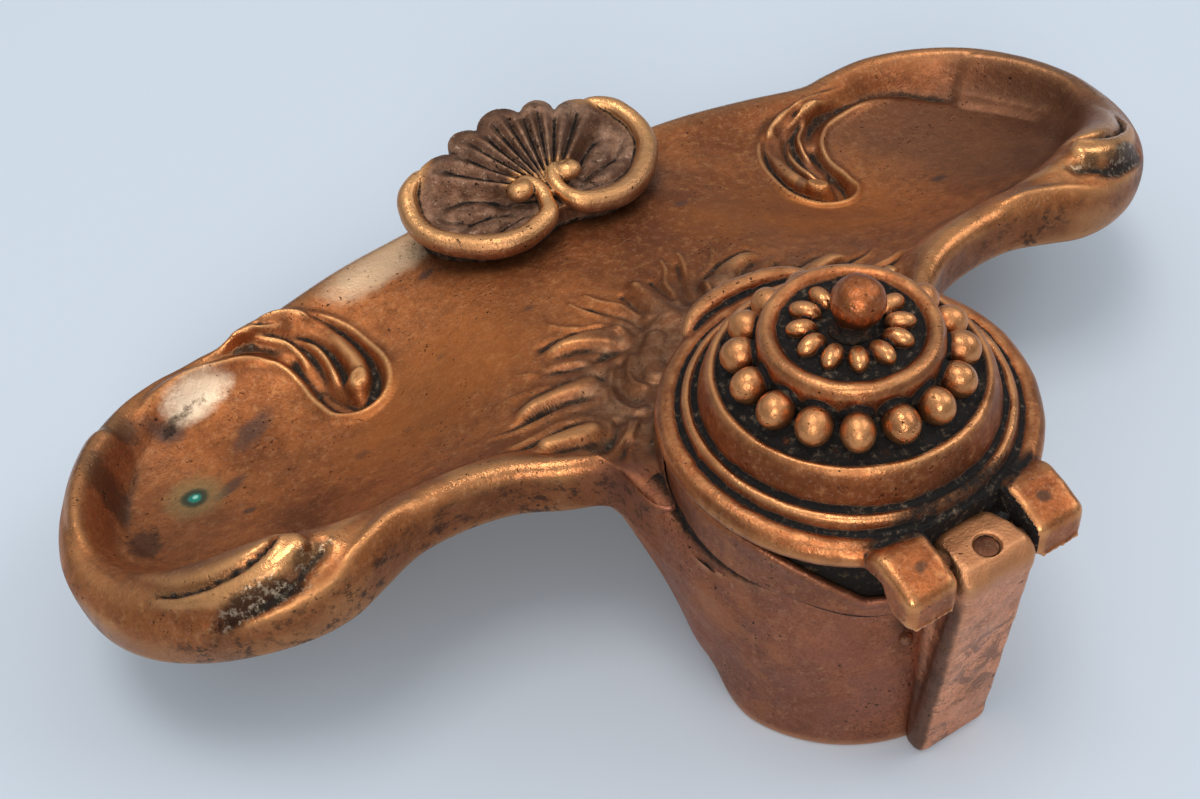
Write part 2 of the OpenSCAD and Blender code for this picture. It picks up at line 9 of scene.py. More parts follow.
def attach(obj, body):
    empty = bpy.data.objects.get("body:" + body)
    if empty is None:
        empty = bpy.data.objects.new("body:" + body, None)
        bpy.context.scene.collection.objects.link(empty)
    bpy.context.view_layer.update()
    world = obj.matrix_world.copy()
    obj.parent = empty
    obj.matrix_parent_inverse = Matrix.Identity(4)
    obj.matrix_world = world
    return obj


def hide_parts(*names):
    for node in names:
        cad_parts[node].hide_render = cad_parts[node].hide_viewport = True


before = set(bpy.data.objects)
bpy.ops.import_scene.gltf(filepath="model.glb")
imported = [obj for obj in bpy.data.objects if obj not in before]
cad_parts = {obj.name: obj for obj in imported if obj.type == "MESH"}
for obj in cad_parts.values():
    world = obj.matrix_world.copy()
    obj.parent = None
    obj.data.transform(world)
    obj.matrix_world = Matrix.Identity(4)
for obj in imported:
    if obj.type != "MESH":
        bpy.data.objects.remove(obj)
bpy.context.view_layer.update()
MM = 0.001

# ---------------------------------------------------------------- view and studio
# The inkstand stands on a pale blue-grey tabletop, seen from behind its hinge and from above.
# Three soft lamps stand round it, and a pale surround lights the copper from every side.
view_azimuth = math.radians(151.41)
view_height = math.radians(44.82)
view_roll = math.radians(-5.62)
back = Vector((math.sin(view_azimuth) * math.cos(view_height), -math.cos(view_azimuth) * math.cos(view_height),
               math.sin(view_height)))
side = (-back).cross(Vector((0, 0, 1))).normalized()
rise = side.cross(-back)
cam_x = side * math.cos(view_roll) + rise * math.sin(view_roll)
cam_y = rise * math.cos(view_roll) - side * math.sin(view_roll)
camera = bpy.data.objects.new("camera", bpy.data.cameras.new("camera"))
bpy.context.scene.collection.objects.link(camera)
camera.data.sensor_width = 36
camera.data.lens = 53.70
camera.data.clip_start = 0.01
camera_turn = Matrix((cam_x, cam_y, back)).transposed().to_4x4()
camera_place = (0.12548, 0.15089, 0.25099)
camera.matrix_world = Matrix.Translation(camera_place) @ camera_turn
bpy.context.scene.camera = camera
bpy.context.scene.view_settings.view_transform = "Standard"


class Wire:
    """A shader value: sums and products of it add Math nodes."""

    def __init__(self, tree, socket):
        self.tree, self.socket = tree, socket

    def math(self, work, *others):
        return add_node(self.tree, "ShaderNodeMath", {"operation": work},
                        {i: v for i, v in enumerate((self,) + others)})

    def __add__(self, other): return self.math("ADD", other)
    def __radd__(self, other): return self.math("ADD", other)
    def __sub__(self, other): return self.math("SUBTRACT", other)
    def __rsub__(self, other): return (self * -1).math("ADD", other)
    def __mul__(self, other): return self.math("MULTIPLY", other)
    def __rmul__(self, other): return self.math("MULTIPLY", other)
    def __pow__(self, other): return self.math("POWER", other)

    def ramp(self, low, high):
        """0 below low and 1 above high, with a smooth step between."""
        return add_node(self.tree, "ShaderNodeMapRange", {"interpolation_type": "SMOOTHSTEP"},
                        {"Value": self, "From Min": low, "From Max": high})

    def mix(self, first, second):
        """first where this value is 0, second where it is 1; both are colours."""
        return add_node(self.tree, "ShaderNodeMix", {"data_type": "RGBA"}, {0: self, 6: first, 7: second}, out=2)


def add_node(tree, kind, settings, inputs, out=0):
    """Adds one node, its settings first and then its sockets, and gives one output."""
    node = tree.nodes.new(kind)
    for name, value in settings.items():
        setattr(node, name, value)
    for key, value in inputs.items():
        if isinstance(value, Wire):
            tree.links.new(value.socket, node.inputs[key])
        elif isinstance(value, tuple) and len(value) == 3 and node.inputs[key].type == "RGBA":
            node.inputs[key].default_value = (*value, 1)
        else:
            node.inputs[key].default_value = value
    return Wire(tree, node.outputs[out])


def new_tree(name):
    """A new material, its empty node tree, and the place on the piece in metres."""
    material = bpy.data.materials.new(name)
    material.use_nodes = True
    material.node_tree.nodes.clear()
    return material, material.node_tree, add_node(material.node_tree, "ShaderNodeTexCoord", {}, {}, out=3)


def add_surface(tree, inputs):
    shade = add_node(tree, "ShaderNodeBsdfPrincipled", {}, inputs)
    tree.links.new(shade.socket, tree.nodes.new("ShaderNodeOutputMaterial").inputs["Surface"])


def deselect():
    bpy.ops.object.select_all(action="DESELECT")


table_tone = (0.506, 0.551, 0.604)
table_paint, tree, place = new_tree("tabletop")
cloud = add_node(tree, "ShaderNodeTexNoise", {}, {"Vector": place, "Scale": 2.2, "Detail": 2.0})
tone = cloud.mix(tuple(c * 0.97 for c in table_tone), tuple(c * 1.03 for c in table_tone))
add_surface(tree, {"Base Color": tone, "Roughness": 0.8, "Specular IOR Level": 0.15, "Emission Color": tone,
                   "Emission Strength": 0.05})
deselect()
bpy.ops.mesh.primitive_plane_add(size=30, location=(0, 0, 0))
tabletop = bpy.context.object
tabletop.name = "tabletop"
tabletop.data.materials.append(table_paint)

world = bpy.data.worlds.new("surround")
bpy.context.scene.world = world
world.use_nodes = True
sky = world.node_tree
sky_place = add_node(sky, "ShaderNodeTexCoord", {}, {})
sky_height = add_node(sky, "ShaderNodeSeparateXYZ", {}, {"Vector": sky_place}, out=2)
sky_tone = sky_height.ramp(-0.1, 0.9).mix((0.16, 0.18, 0.21), (0.80, 0.86, 0.92))
sky.links.new(sky_tone.socket, sky.nodes["Background"].inputs["Color"])
sky.nodes["Background"].inputs["Strength"].default_value = 0.96


def soft_lamp(name, place, aim, size, power, tone):
    data = bpy.data.lights.new(name, "AREA")
    data.shape = "RECTANGLE"
    data.size, data.size_y = size
    data.energy = power
    data.color = tone
    lamp = bpy.data.objects.new(name, data)
    bpy.context.scene.collection.objects.link(lamp)
    lamp.location = place
    lamp.rotation_euler = (Vector(aim) - Vector(place)).to_track_quat("-Z", "Y").to_euler()


tray_middle = (0.0, -0.05, 0.03)
soft_lamp("high_window", (0.25, -0.1, 2.2), tray_middle, (1.1, 0.75), 14.5, (1.0, 0.985, 0.96))
soft_lamp("side_window", (-1.5, 0.6, 1.6), tray_middle, (1.3, 1.1), 10.0, (0.96, 0.98, 1.0))
soft_lamp("near_fill", (1.1, 1.7, 1.2), (0.0, 0.0, 0.03), (0.9, 1.1), 21.0, (1.0, 0.98, 0.95))

# ---------------------------------------------------------------- pen tray
# The tray is one copper casting: a shallow crescent sheet with a rolled rim, chased after
# casting with scrolls, leaves and a palmette, and soldered to the inkwell's collar.
sheet = 2.4            # thickness of the tray
joint_level = 42.9     # where the tray meets the collar, and how far out
tray_edge = 28.81
# Each row of the rim: x, y and height of its crest, the radius of its roll, the depth of its
# skirt, the width of the slope inside it, and how far the roll is opened.
tray_roll_rows = [
    (-12, -109.3, 29.5, 2.6, 9, 6, 1), (0, -109.6, 29.5, 2.6, 9, 6, 1), (12, -109.3, 29.5, 2.6, 9, 6, 1),
    (26, -108, 29.5, 2.6, 9, 6, 1), (40, -106.4, 29.5, 2.6, 9.5, 6, 1), (54, -103.6, 29, 2.6, 10, 6, 1),
    (66.5, -100.4, 28.5, 2.6, 10, 6, 1), (73, -100.2, 29, 2.6, 10, 6, 1), (82, -98.4, 30.5, 2.8, 10.5, 6, 1),
    (92, -93.4, 31.5, 3, 11, 6, 1), (101, -86, 32, 3.2, 11, 6, 1), (107.6, -76.6, 32.2, 3.6, 11, 6, 1),
    (111.4, -67, 32.2, 4, 11, 6, 1), (112, -59, 32.4, 4.5, 11, 6.5, 1), (110.4, -50, 33.5, 5.5, 11, 7.5, 1),
    (106.2, -41.6, 36, 7, 12, 9, 1), (99.6, -34, 39.8, 8.5, 13.5, 10, 1), (91.6, -28.4, 43, 9.5, 14.5, 10, 1),
    (83.4, -25.6, 44, 9, 14.5, 9, 1), (76.4, -25.4, 43.4, 6.5, 13.5, 8, 1), (70, -27.2, 42.6, 4, 12, 7, 1),
    (62, -29.6, 42.2, 3, 11, 7, 1), (53, -29.8, 42, 2.8, 11, 7, 1), (45, -28, 41.8, 2.8, 11, 6.5, 1),
    (39, -24.4, 41.6, 2.8, 10.8, 5, 1)]
collar_rows = [((tray_edge + r[1]) * math.cos(math.radians(r[0])), (tray_edge + r[1]) * math.sin(math.radians(r[0])),
                joint_level - 0.4) + tuple(r[2:])
               for r in ((-31.5, 8.4, 2.4, 11, 2, 1), (-24.5, 5.6, 1.9, 11, 1.2, 1),
                         (-18.5, 4, 1.5, 10.4, 0.8, 0.8), (-14, 3.2, 1.2, 9, 0.5, 0.5))]


def smooth(t):
    c = np.clip(t, 0, 1)
    return c * c * (3 - 2 * c)


def mix(a, b, t):
    return a + (b - a) * t


for step in range(15):
    turn = math.radians(mix(-12, -90, step / 14))
    collar_rows.append((tray_edge * math.cos(turn), tray_edge * math.sin(turn),
                        joint_level - 0.4 + 0.6 * smooth(step / 5), 2.4, mix(7, sheet + 0.6, smooth(step / 3)),
                        mix(0.5, 6, smooth((step - 1) / 8)), 0.25))
rim_rows = np.array(tray_roll_rows + collar_rows, float)
tip_row = 13


def walk(rows, first, last, steps=16):
    """Points of a smooth curve through the rows."""
    out = []
    for i in range(first, last):
        a, b, c, d = rows[max(i - 1, 0)], rows[i], rows[i + 1], rows[min(i + 2, len(rows) - 1)]
        t = (np.arange(steps) / steps)[:, None]
        bend = (2 * a - 5 * b + 4 * c - d) * t ** 2
        out.append(0.5 * (2 * b + (c - a) * t + bend + (3 * b - a - 3 * c + d) * t ** 3))
    return np.vstack(out + [rows[last][None]])


def even_steps(points, n, axes=2):
    """The same curve in n equal steps, measured over its first axes."""
    run = np.concatenate([[0], np.cumsum(np.linalg.norm(np.diff(points[:, :axes], axis=0), axis=1))])
    at = np.linspace(0, run[-1], n + 1)
    return np.stack([np.interp(at, run, points[:, c]) for c in range(points.shape[1])], 1)


quarter = 80           # steps of the rim from its front to the end of a wing
front_half = even_steps(walk(rim_rows, 1, tip_row), quarter)
rear_half = even_steps(walk(rim_rows, tip_row, len(rim_rows) - 1), quarter)
mirror_row = np.array([-1, 1, 1, 1, 1, 1, 1.0])
outline = np.vstack([front_half[:0:-1], front_half[:-1] * mirror_row, rear_half[:-1] * mirror_row, rear_half[:0:-1]])
around = len(outline)


def floor_level(x, y):
    """Height of the tray's floor: highest in the middle, with a bowl in each wing."""
    middle = 31.2 + 0.12 * (y + 80)
    dip = 23.6 + 0.0095 * (np.minimum(y, -34) + 76) ** 2
    return mix(middle, dip, smooth((np.abs(x) - 18) / 42)) + 1.2 * np.exp(-(x / 30) ** 2 - ((y + 88) / 13) ** 2)


index = np.arange(around)
fold = np.where(index <= around // 2, index, around - index)
along = 1 - fold / (around / 4)
spine = np.stack([94 * along, -67 + 4 * along ** 2], 1)
edge_run = np.roll(outline[:, :2], -1, 0) - np.roll(outline[:, :2], 1, 0)
edge_run /= np.linalg.norm(edge_run, axis=1)[:, None]
to_spine = spine - outline[:, :2]
to_spine /= np.linalg.norm(to_spine, axis=1)[:, None]
lead = to_spine[:, 0] * edge_run[:, 1] - to_spine[:, 1] * edge_run[:, 0]
in_step = to_spine / np.maximum(0.75, lead)[:, None]
crest, roll, skirt, slope, opened = (outline[:, c] for c in range(2, 7))


def inset(d, z):
    """The rim's outline moved inwards by d, at a height z."""
    return np.column_stack([outline[:, :2] + in_step * np.asarray(d)[:, None], np.broadcast_to(z, around)])


def roll_ring(angle):
    a = math.radians(angle)
    return inset(opened * roll * (1 - math.cos(a)), crest - opened * roll * (1 - math.sin(a)))


def slope_ring(e, drop):
    p = inset(opened * roll + e * slope, 0.0)
    p[:, 2] = mix(crest, floor_level(p[:, 0], p[:, 1]), smooth(e)) - drop
    return p


def floor_ring(g, drop):
    p = inset(opened * roll + slope, 0.0)
    p[:, :2] = mix(p[:, :2], spine, g)
    p[:, 2] = floor_level(p[:, 0], p[:, 1]) - drop
    return p


def under_ring(k, f):
    p = inset(opened * roll + slope, 0.0)
    low = crest - skirt
    high = np.minimum(crest, floor_level(p[:, 0], p[:, 1]) + 0.9 * slope) - sheet
    return inset(opened * mix(np.minimum(sheet, 0.8 * roll), roll, k), mix(low, high, f))


def skirt_ring(f):
    return inset(opened * np.minimum(0.8, 0.3 * roll) * (1 - f) ** 2, crest - skirt + f * (skirt - opened * roll))


tray_rings = ([skirt_ring(f) for f in (0, 0.15, 0.5)] + [roll_ring(a) for a in (0, 18, 36, 54, 72, 90)]
              + [slope_ring(e, 0) for e in (0.2, 0.4, 0.6, 0.8, 1)]
              + [floor_ring(g, 0) for g in np.linspace(0.06, 1, 17)])
top_count = len(tray_rings)
tray_rings += ([floor_ring(g, sheet) for g in (1, 0.75, 0.5, 0.25)] + [slope_ring(e, sheet) for e in (1, 0.6, 0.25)]
               + [under_ring(k, f) for k, f in ((1, 1), (0.3, 0.9), (0, 0.6), (0, 0))])
ring_total = len(tray_rings)
tray_points = np.vstack(tray_rings)


def band(a, b, count):
    """Faces between two rings of points, from the numbers of their first points."""
    return [(a + i, a + (i + 1) % count, b + (i + 1) % count, b + i) for i in range(count)]


def pick(piece):
    deselect()
    piece.select_set(True)
    bpy.context.view_layer.objects.active = piece


def in_edit(*steps):
    """Runs edit-mode steps on the whole of the active mesh."""
    bpy.ops.object.mode_set(mode="EDIT")
    bpy.ops.mesh.select_all(action="SELECT")
    for step in steps:
        step()
    bpy.ops.object.mode_set(mode="OBJECT")


def close_up():
    bpy.ops.mesh.remove_doubles(threshold=0.000004)
    bpy.ops.mesh.normals_make_consistent(inside=False)


def new_piece(name, points, faces):
    """A closed mesh from points in millimetres, left active and alone selected."""
    mesh = bpy.data.meshes.new(name)
    mesh.from_pydata([tuple(p * MM) for p in np.asarray(points, float)], [], faces)
    piece = bpy.data.objects.new(name, mesh)
    bpy.context.scene.collection.objects.link(piece)
    pick(piece)
    if faces:
        in_edit(close_up)
    return piece


def reshape(piece, kind, **settings):
    """Adds one modifier to a piece and applies it."""
    pick(piece)
    work = piece.modifiers.new("work", kind)
    for name, value in settings.items():
        setattr(work, name, value)
    bpy.ops.object.modifier_apply(modifier="work")


def read(items, what, width=3, kind=np.float32):
    """One property of all corners, edges or faces of a mesh."""
    flat = np.empty(len(items) * width, kind)
    items.foreach_get(what, flat)
    return flat.reshape(-1, width)


def points_of(piece):
    return read(piece.data.vertices, "co").astype(float) / MM


def set_points(piece, points):
    piece.data.vertices.foreach_set("co", (points * MM).astype(np.float32).ravel())
    piece.data.update()


def edges_of(piece):
    return read(piece.data.edges, "vertices", 2, np.int32)


def normals_of(piece):
    return read(piece.data.vertices, "normal").astype(float)


def eased(values, ends, times):
    """Values at the corners of a mesh, averaged with their neighbours' so many times."""
    count = np.bincount(ends.ravel(), minlength=len(values))[:, None]
    for _ in range(times):
        total = np.zeros_like(values)
        for c in range(values.shape[1]):
            total[:, c] = (np.bincount(ends[:, 0], values[ends[:, 1], c], len(values))
                           + np.bincount(ends[:, 1], values[ends[:, 0], c], len(values)))
        values = values * 0.5 + total / np.maximum(count, 1) * 0.5
    return values


def wear_of(piece, name):
    """One kind of wear, as a value for each corner of a piece."""
    return read(piece.data.attributes[name].data, "value", 1)[:, 0]


def set_wear(piece, name, values):
    """Stores one value for each corner of a piece, for its material to read: wear, dirt, and on some pieces painted
    shade and highlight.
    """
    layer = piece.data.attributes.get(name) or piece.data.attributes.new(name, "FLOAT", "POINT")
    layer.data.foreach_set("value", np.asarray(values, np.float32))


def add_dirt_and_shade(piece, more, most=1.5):
    """Makes a piece darker by an amount for each corner, through its hollow value: dirt in some places, painted shade
    in others.
    """
    set_wear(piece, "hollow", np.clip(wear_of(piece, "hollow") + more, 0, most))


def polar(points):
    """How far points lie from the upright, and how far round: -90 at the shell, 90 at the hinge."""
    return np.hypot(points[:, 0], points[:, 1]), np.degrees(np.arctan2(points[:, 1], np.abs(points[:, 0])))


def gap_to(points, line):
    """Distance from each point to the nearest point of a line."""
    nearest = np.full(len(points), 99.0)
    for k in range(0, len(line), 10):
        nearest = np.minimum(nearest, np.linalg.norm(points[:, None] - line[None, k:k + 10], axis=2).min(1))
    return nearest


def mark_wear(piece, fine=6, broad=40, gain=(0.13, 1.3)):
    """Stores where the surface is hollow and where it stands proud, for dirt and for rubbed metal."""
    points, ends, normals = points_of(piece), edges_of(piece), normals_of(piece)
    near = eased(points, ends, fine)
    far = eased(near, ends, broad)
    height = ((points - near) * normals).sum(1) / gain[0] + ((near - far) * normals).sum(1) / gain[1]
    height = eased(height[:, None], ends, 2)[:, 0]
    set_wear(piece, "hollow", np.clip(-height, 0, 1))
    set_wear(piece, "proud", np.clip(height, 0, 1))


def worn(place, kind):
    """One kind of wear as a shader value."""
    return add_node(place.tree, "ShaderNodeAttribute", {"attribute_name": kind}, {}, out=2)


def copper(name, warm=(0.47, 0.155, 0.048), deep=(0.20, 0.062, 0.024), gold=(0.76, 0.37, 0.145), grain=1.0, dirt=1.0,
           shine=0.36, stains=(), attributes=True, ash_and_shade_tones=((0.012, 0.008, 0.006), (0.10, 0.060, 0.034)), polish=None):
    """Old cast copper: warm where it is handled, brown where it is not, black in its hollows and where a piece has
    painted shade.
    """
    material, tree, place = new_tree(name)

    def noise(scale, detail=3.0, rough=0.55, twist=0.0):
        return add_node(tree, "ShaderNodeTexNoise", {}, {"Vector": place, "Scale": scale, "Detail": detail,
                                                         "Roughness": rough, "Distortion": twist})

    broad, middle, small = noise(26, 4, 0.6, 0.5), noise(105, 5, 0.62), noise(620, 4, 0.6)
    tone = broad.ramp(0.34, 0.66).mix(deep, warm)
    tone = (middle.ramp(0.45, 0.75) * 0.5).mix(tone, tuple(c * 0.5 for c in warm))
    tone = (small.ramp(0.48, 0.78) * 0.34).mix(tone, gold)
    fleck = noise(2100, 2, 0.6)
    tone = (fleck.ramp(0.50, 0.66) * 0.42 * grain).mix(tone, tuple(c * 0.45 for c in warm))
    mottle = noise(390, 5, 0.75)
    tone = (mottle.ramp(0.45, 0.62) * 0.34).mix(tone, tuple(c * 0.6 for c in deep))
    tone = (noise(1500, 2, 0.6).ramp(0.55, 0.70) * 0.12).mix(tone, (0.72, 0.47, 0.31))
    pit = noise(1250, 2, 0.55).ramp(0.645, 0.70) * noise(75, 4, 0.7).ramp(0.47, 0.60)
    blotch = noise(330, 3, 0.7).ramp(0.64, 0.73) * noise(60, 3).ramp(0.44, 0.60)
    grit = noise(640, 4, 0.75)
    if attributes:
        proud, hollow = worn(place, "proud"), worn(place, "hollow")
        rub = (proud * (0.6 + 0.8 * middle)).ramp(0.12, 0.85)
        tone = (rub * 0.7).mix(tone, gold)
        # The hollow value holds dirt and patina in the hollows and, on some pieces, painted shade added to it. dirt
        # scales both, and both come out dark brown to black.
        shade_in = (hollow * dirt * (0.3 + 1.4 * noise(140, 5, 0.7))).ramp(0.04, 0.60)
        tone = (shade_in * 0.8).mix(tone, (0.070, 0.032, 0.018))
        soot_and_shade = (hollow * dirt * (2.6 * noise(430, 5, 0.8) - 0.38)).ramp(0.34, 0.80)
    else:
        rub = soot_and_shade = small * 0.0
    for lay_on in stains:
        tone = lay_on(place, tone, noise)
    tone = soot_and_shade.mix(tone, grit.ramp(0.52, 0.76).mix(ash_and_shade_tones[0], ash_and_shade_tones[1]))
    tone = (pit * 0.85 * grain).mix(tone, (0.022, 0.011, 0.007))
    tone = (blotch * 0.5 * grain).mix(tone, (0.06, 0.026, 0.014))
    rough = shine + 0.20 * middle.ramp(0.3, 0.7) + 0.10 * (fleck - 0.5) - 0.12 * rub + 0.36 * soot_and_shade
    if polish:
        rough = rough - 0.31 * worn(place, polish)
    bump = add_node(tree, "ShaderNodeBump", {}, {
        "Strength": 0.65 * grain, "Distance": 0.0004,
        "Height": middle * 0.45 + small * 0.40 + pit * -0.7 + blotch * -0.3 + soot_and_shade * grit * 2.2 + fleck * 0.26})
    add_surface(tree, {"Base Color": tone, "Roughness": rough, "Metallic": 0.92 - 0.75 * soot_and_shade,
                       "Specular IOR Level": 0.2, "Normal": bump})
    return material


def along_axes(place, *axes):
    """Coordinates of a place, in millimetres."""
    return [add_node(place.tree, "ShaderNodeSeparateXYZ", {}, {"Vector": place}, out=axis) * 1000.0 for axis in axes]


def patch(place, tone, spot, torn, edge, colour, much, both=False):
    """Lays a colour on a patch with a torn edge. The spot is x, y, half width, half length and turn."""
    x, y, wide, long, turn = spot
    px, py = along_axes(place, 0, 1)
    px, py = (px.math("ABSOLUTE") if both else px) - x, py - y
    c, n = math.cos(turn), math.sin(turn)
    near = ((px * c + py * n) * (1 / wide)) ** 2.0 + ((py * c - px * n) * (1 / long)) ** 2.0
    return ((1 - (near + torn).ramp(*edge)) * much).mix(tone, colour)


def bowl_stains_and_sheen(place, tone, noise):
    """The left bowl has a painted sheen (a pale highlight) by the scroll and dark clouds; the right one is browner. A
    painted pale reflection lies along the front edge beside the shell.
    """
    cloud, torn = noise(70, 5, 0.65, 0.6), noise(240, 5, 0.75)
    for much, *spot in ((0.62, -88, -67, 24, 26, 0), (0.30, 93, -72, 12, 22, 0.1), (0.4, -60, -84, 16, 8, 0)):
        tone = patch(place, tone, spot, 0.9 * cloud, (0.6, 1.9), (0.15, 0.075, 0.045), much)
    # Painted highlight: a pale sheen in the left bowl, by the scroll.
    tone = patch(place, tone, (76.6, -91.6, 8.5, 4.2, 0.25), 1.3 * torn, (0.75, 1.7), (0.86, 0.66, 0.46), 0.8)
    for spot in ((71, -80.5, 8, 3.0, 0.5), (84.5, -88, 5, 2.6, -0.5), (79.9, -70.1, 4.6, 2.0, 0.4),
                 (80, -61.6, 1.7, 1.3, 0), (58, -61.8, 2.0, 1.4, 0.4), (49, -60.8, 1.2, 1.0, 0),
                 (27.6, -93, 2.2, 1.6, 0.3), (36, -72, 1.4, 1.1, 0), (-48, -75, 3, 1.5, 0.5),
                 (-71, -60, 2.2, 1.6, 0), (18, -70, 1.6, 1.2, 0), (-22, -79, 2.2, 1.2, 0)):
        tone = patch(place, tone, spot, 1.2 * torn, (0.65, 1.5), (0.085, 0.052, 0.042), 0.72)
    rough = 1.5 * noise(420, 4, 0.75)
    for spot in ((92, -89.5, 5.5, 4.0, -0.6), (98.6, -79, 4.0, 9.0, 0.1), (97.5, -66, 4.5, 7.0, -0.2)):
        tone = patch(place, tone, spot, rough, (0.9, 1.45), (0.060, 0.036, 0.026), 0.7)
    tone = patch(place, tone, (40, -66, 26, 13, 0.3), 0.7 * cloud, (0.5, 1.6), (0.47, 0.150, 0.036), 0.5, True)
    # Painted reflection: a pale cream patch along the front edge beside the shell.
    tone = patch(place, tone, (33, -101.5, 17, 6.5, 0.15), 1.2 * noise(150, 5, 0.7), (0.7, 1.6), (0.78, 0.55, 0.34),
                 0.72)
    pink = cloud.ramp(0.4, 0.62).mix((0.42, 0.150, 0.070), (0.30, 0.112, 0.070))
    return patch(place, tone, (33, -10, 13, 13, 0), 0.5 * torn, (0.5, 1.5), pink, 0.85, True)


def palmette_grime(place, tone, noise):
    """Brown residue that never gets rubbed, between and round the palmette's petals."""
    kept = 0.72 * (1 - worn(place, "proud").ramp(0.15, 0.8))
    residue = noise(300, 4, 0.7).ramp(0.4, 0.7).mix((0.10, 0.046, 0.026), (0.25, 0.145, 0.085))
    return patch(place, tone, (0, -36, 36, 24, 0), noise(120, 5, 0.7), (0.8, 1.7), residue, kept, True)


def rim_grime_shade_and_highlight(place, tone, noise):
    """Rough black and grey deposit behind the second leaf, painted shade and dark specks of dirt down the rim's outer
    side, and a painted gold highlight along the crest.
    """
    torn = noise(420, 5, 0.8)
    deposit = noise(900, 3, 0.7).ramp(0.50, 0.66).mix((0.014, 0.010, 0.008), (0.34, 0.27, 0.19))
    for spot in ((89, -30.4, 11, 2.0, -0.30), (79, -31, 5, 1.8, 0.2)):
        tone = patch(place, tone, spot, 1.7 * torn, (1.0, 1.75), deposit, 0.9, True)
    # Painted shade: faces that turn away from upright are made darker brown; the dark specks with it are dirt.
    facing = add_node(place.tree, "ShaderNodeNewGeometry", {}, {}, out=1)
    lean = 1 - add_node(place.tree, "ShaderNodeSeparateXYZ", {}, {"Vector": facing}, out=2)
    dirty = lean.ramp(0.35, 1.1) * torn.ramp(0.50, 0.60) * noise(48, 3).ramp(0.36, 0.56)
    tone = (lean.ramp(0.45, 1.0) * 0.40).mix(tone, (0.17, 0.055, 0.022))
    tone = (dirty * 0.8).mix(tone, (0.040, 0.022, 0.015))
    # Painted highlight: a gold band along the rim's crest.
    return (worn(place, "crest") * 0.34).mix(tone, (0.80, 0.38, 0.15))


def verdigris(place, tone, noise):
    """One spot of green corrosion in the left bowl, in a pale olive ring."""
    wobble = 0.5 * noise(420, 3, 0.6)
    for spot, torn, edge, colour, much in (
            ((86.2, -71.6, 6.5, 6.5, 0), wobble, (0.35, 1.3), (0.30, 0.235, 0.10), 0.5),
            ((86.2, -71.6, 2.9, 2.7, 0), wobble, (0.6, 1.3), (0.030, 0.055, 0.040), 0.85),
            ((86.2, -71.6, 1.7, 1.5, 0), 1.6 * wobble, (0.5, 1.2), (0.035, 0.30, 0.22), 0.95),
            ((86.0, -71.8, 0.8, 0.7, 0), 1.6 * wobble, (0.5, 1.1), (0.42, 0.78, 0.62), 0.9)):
        tone = patch(place, tone, spot, torn, edge, colour, much)
    return tone


tray_faces = [face for k in range(ring_total) if k != top_count - 1
              for face in band(k * around, (k + 1) % ring_total * around, around)]
tray = new_piece("tray_casting", tray_points, tray_faces)
reshape(tray, "SUBSURF", levels=1, render_levels=1)
bpy.ops.object.shade_smooth()

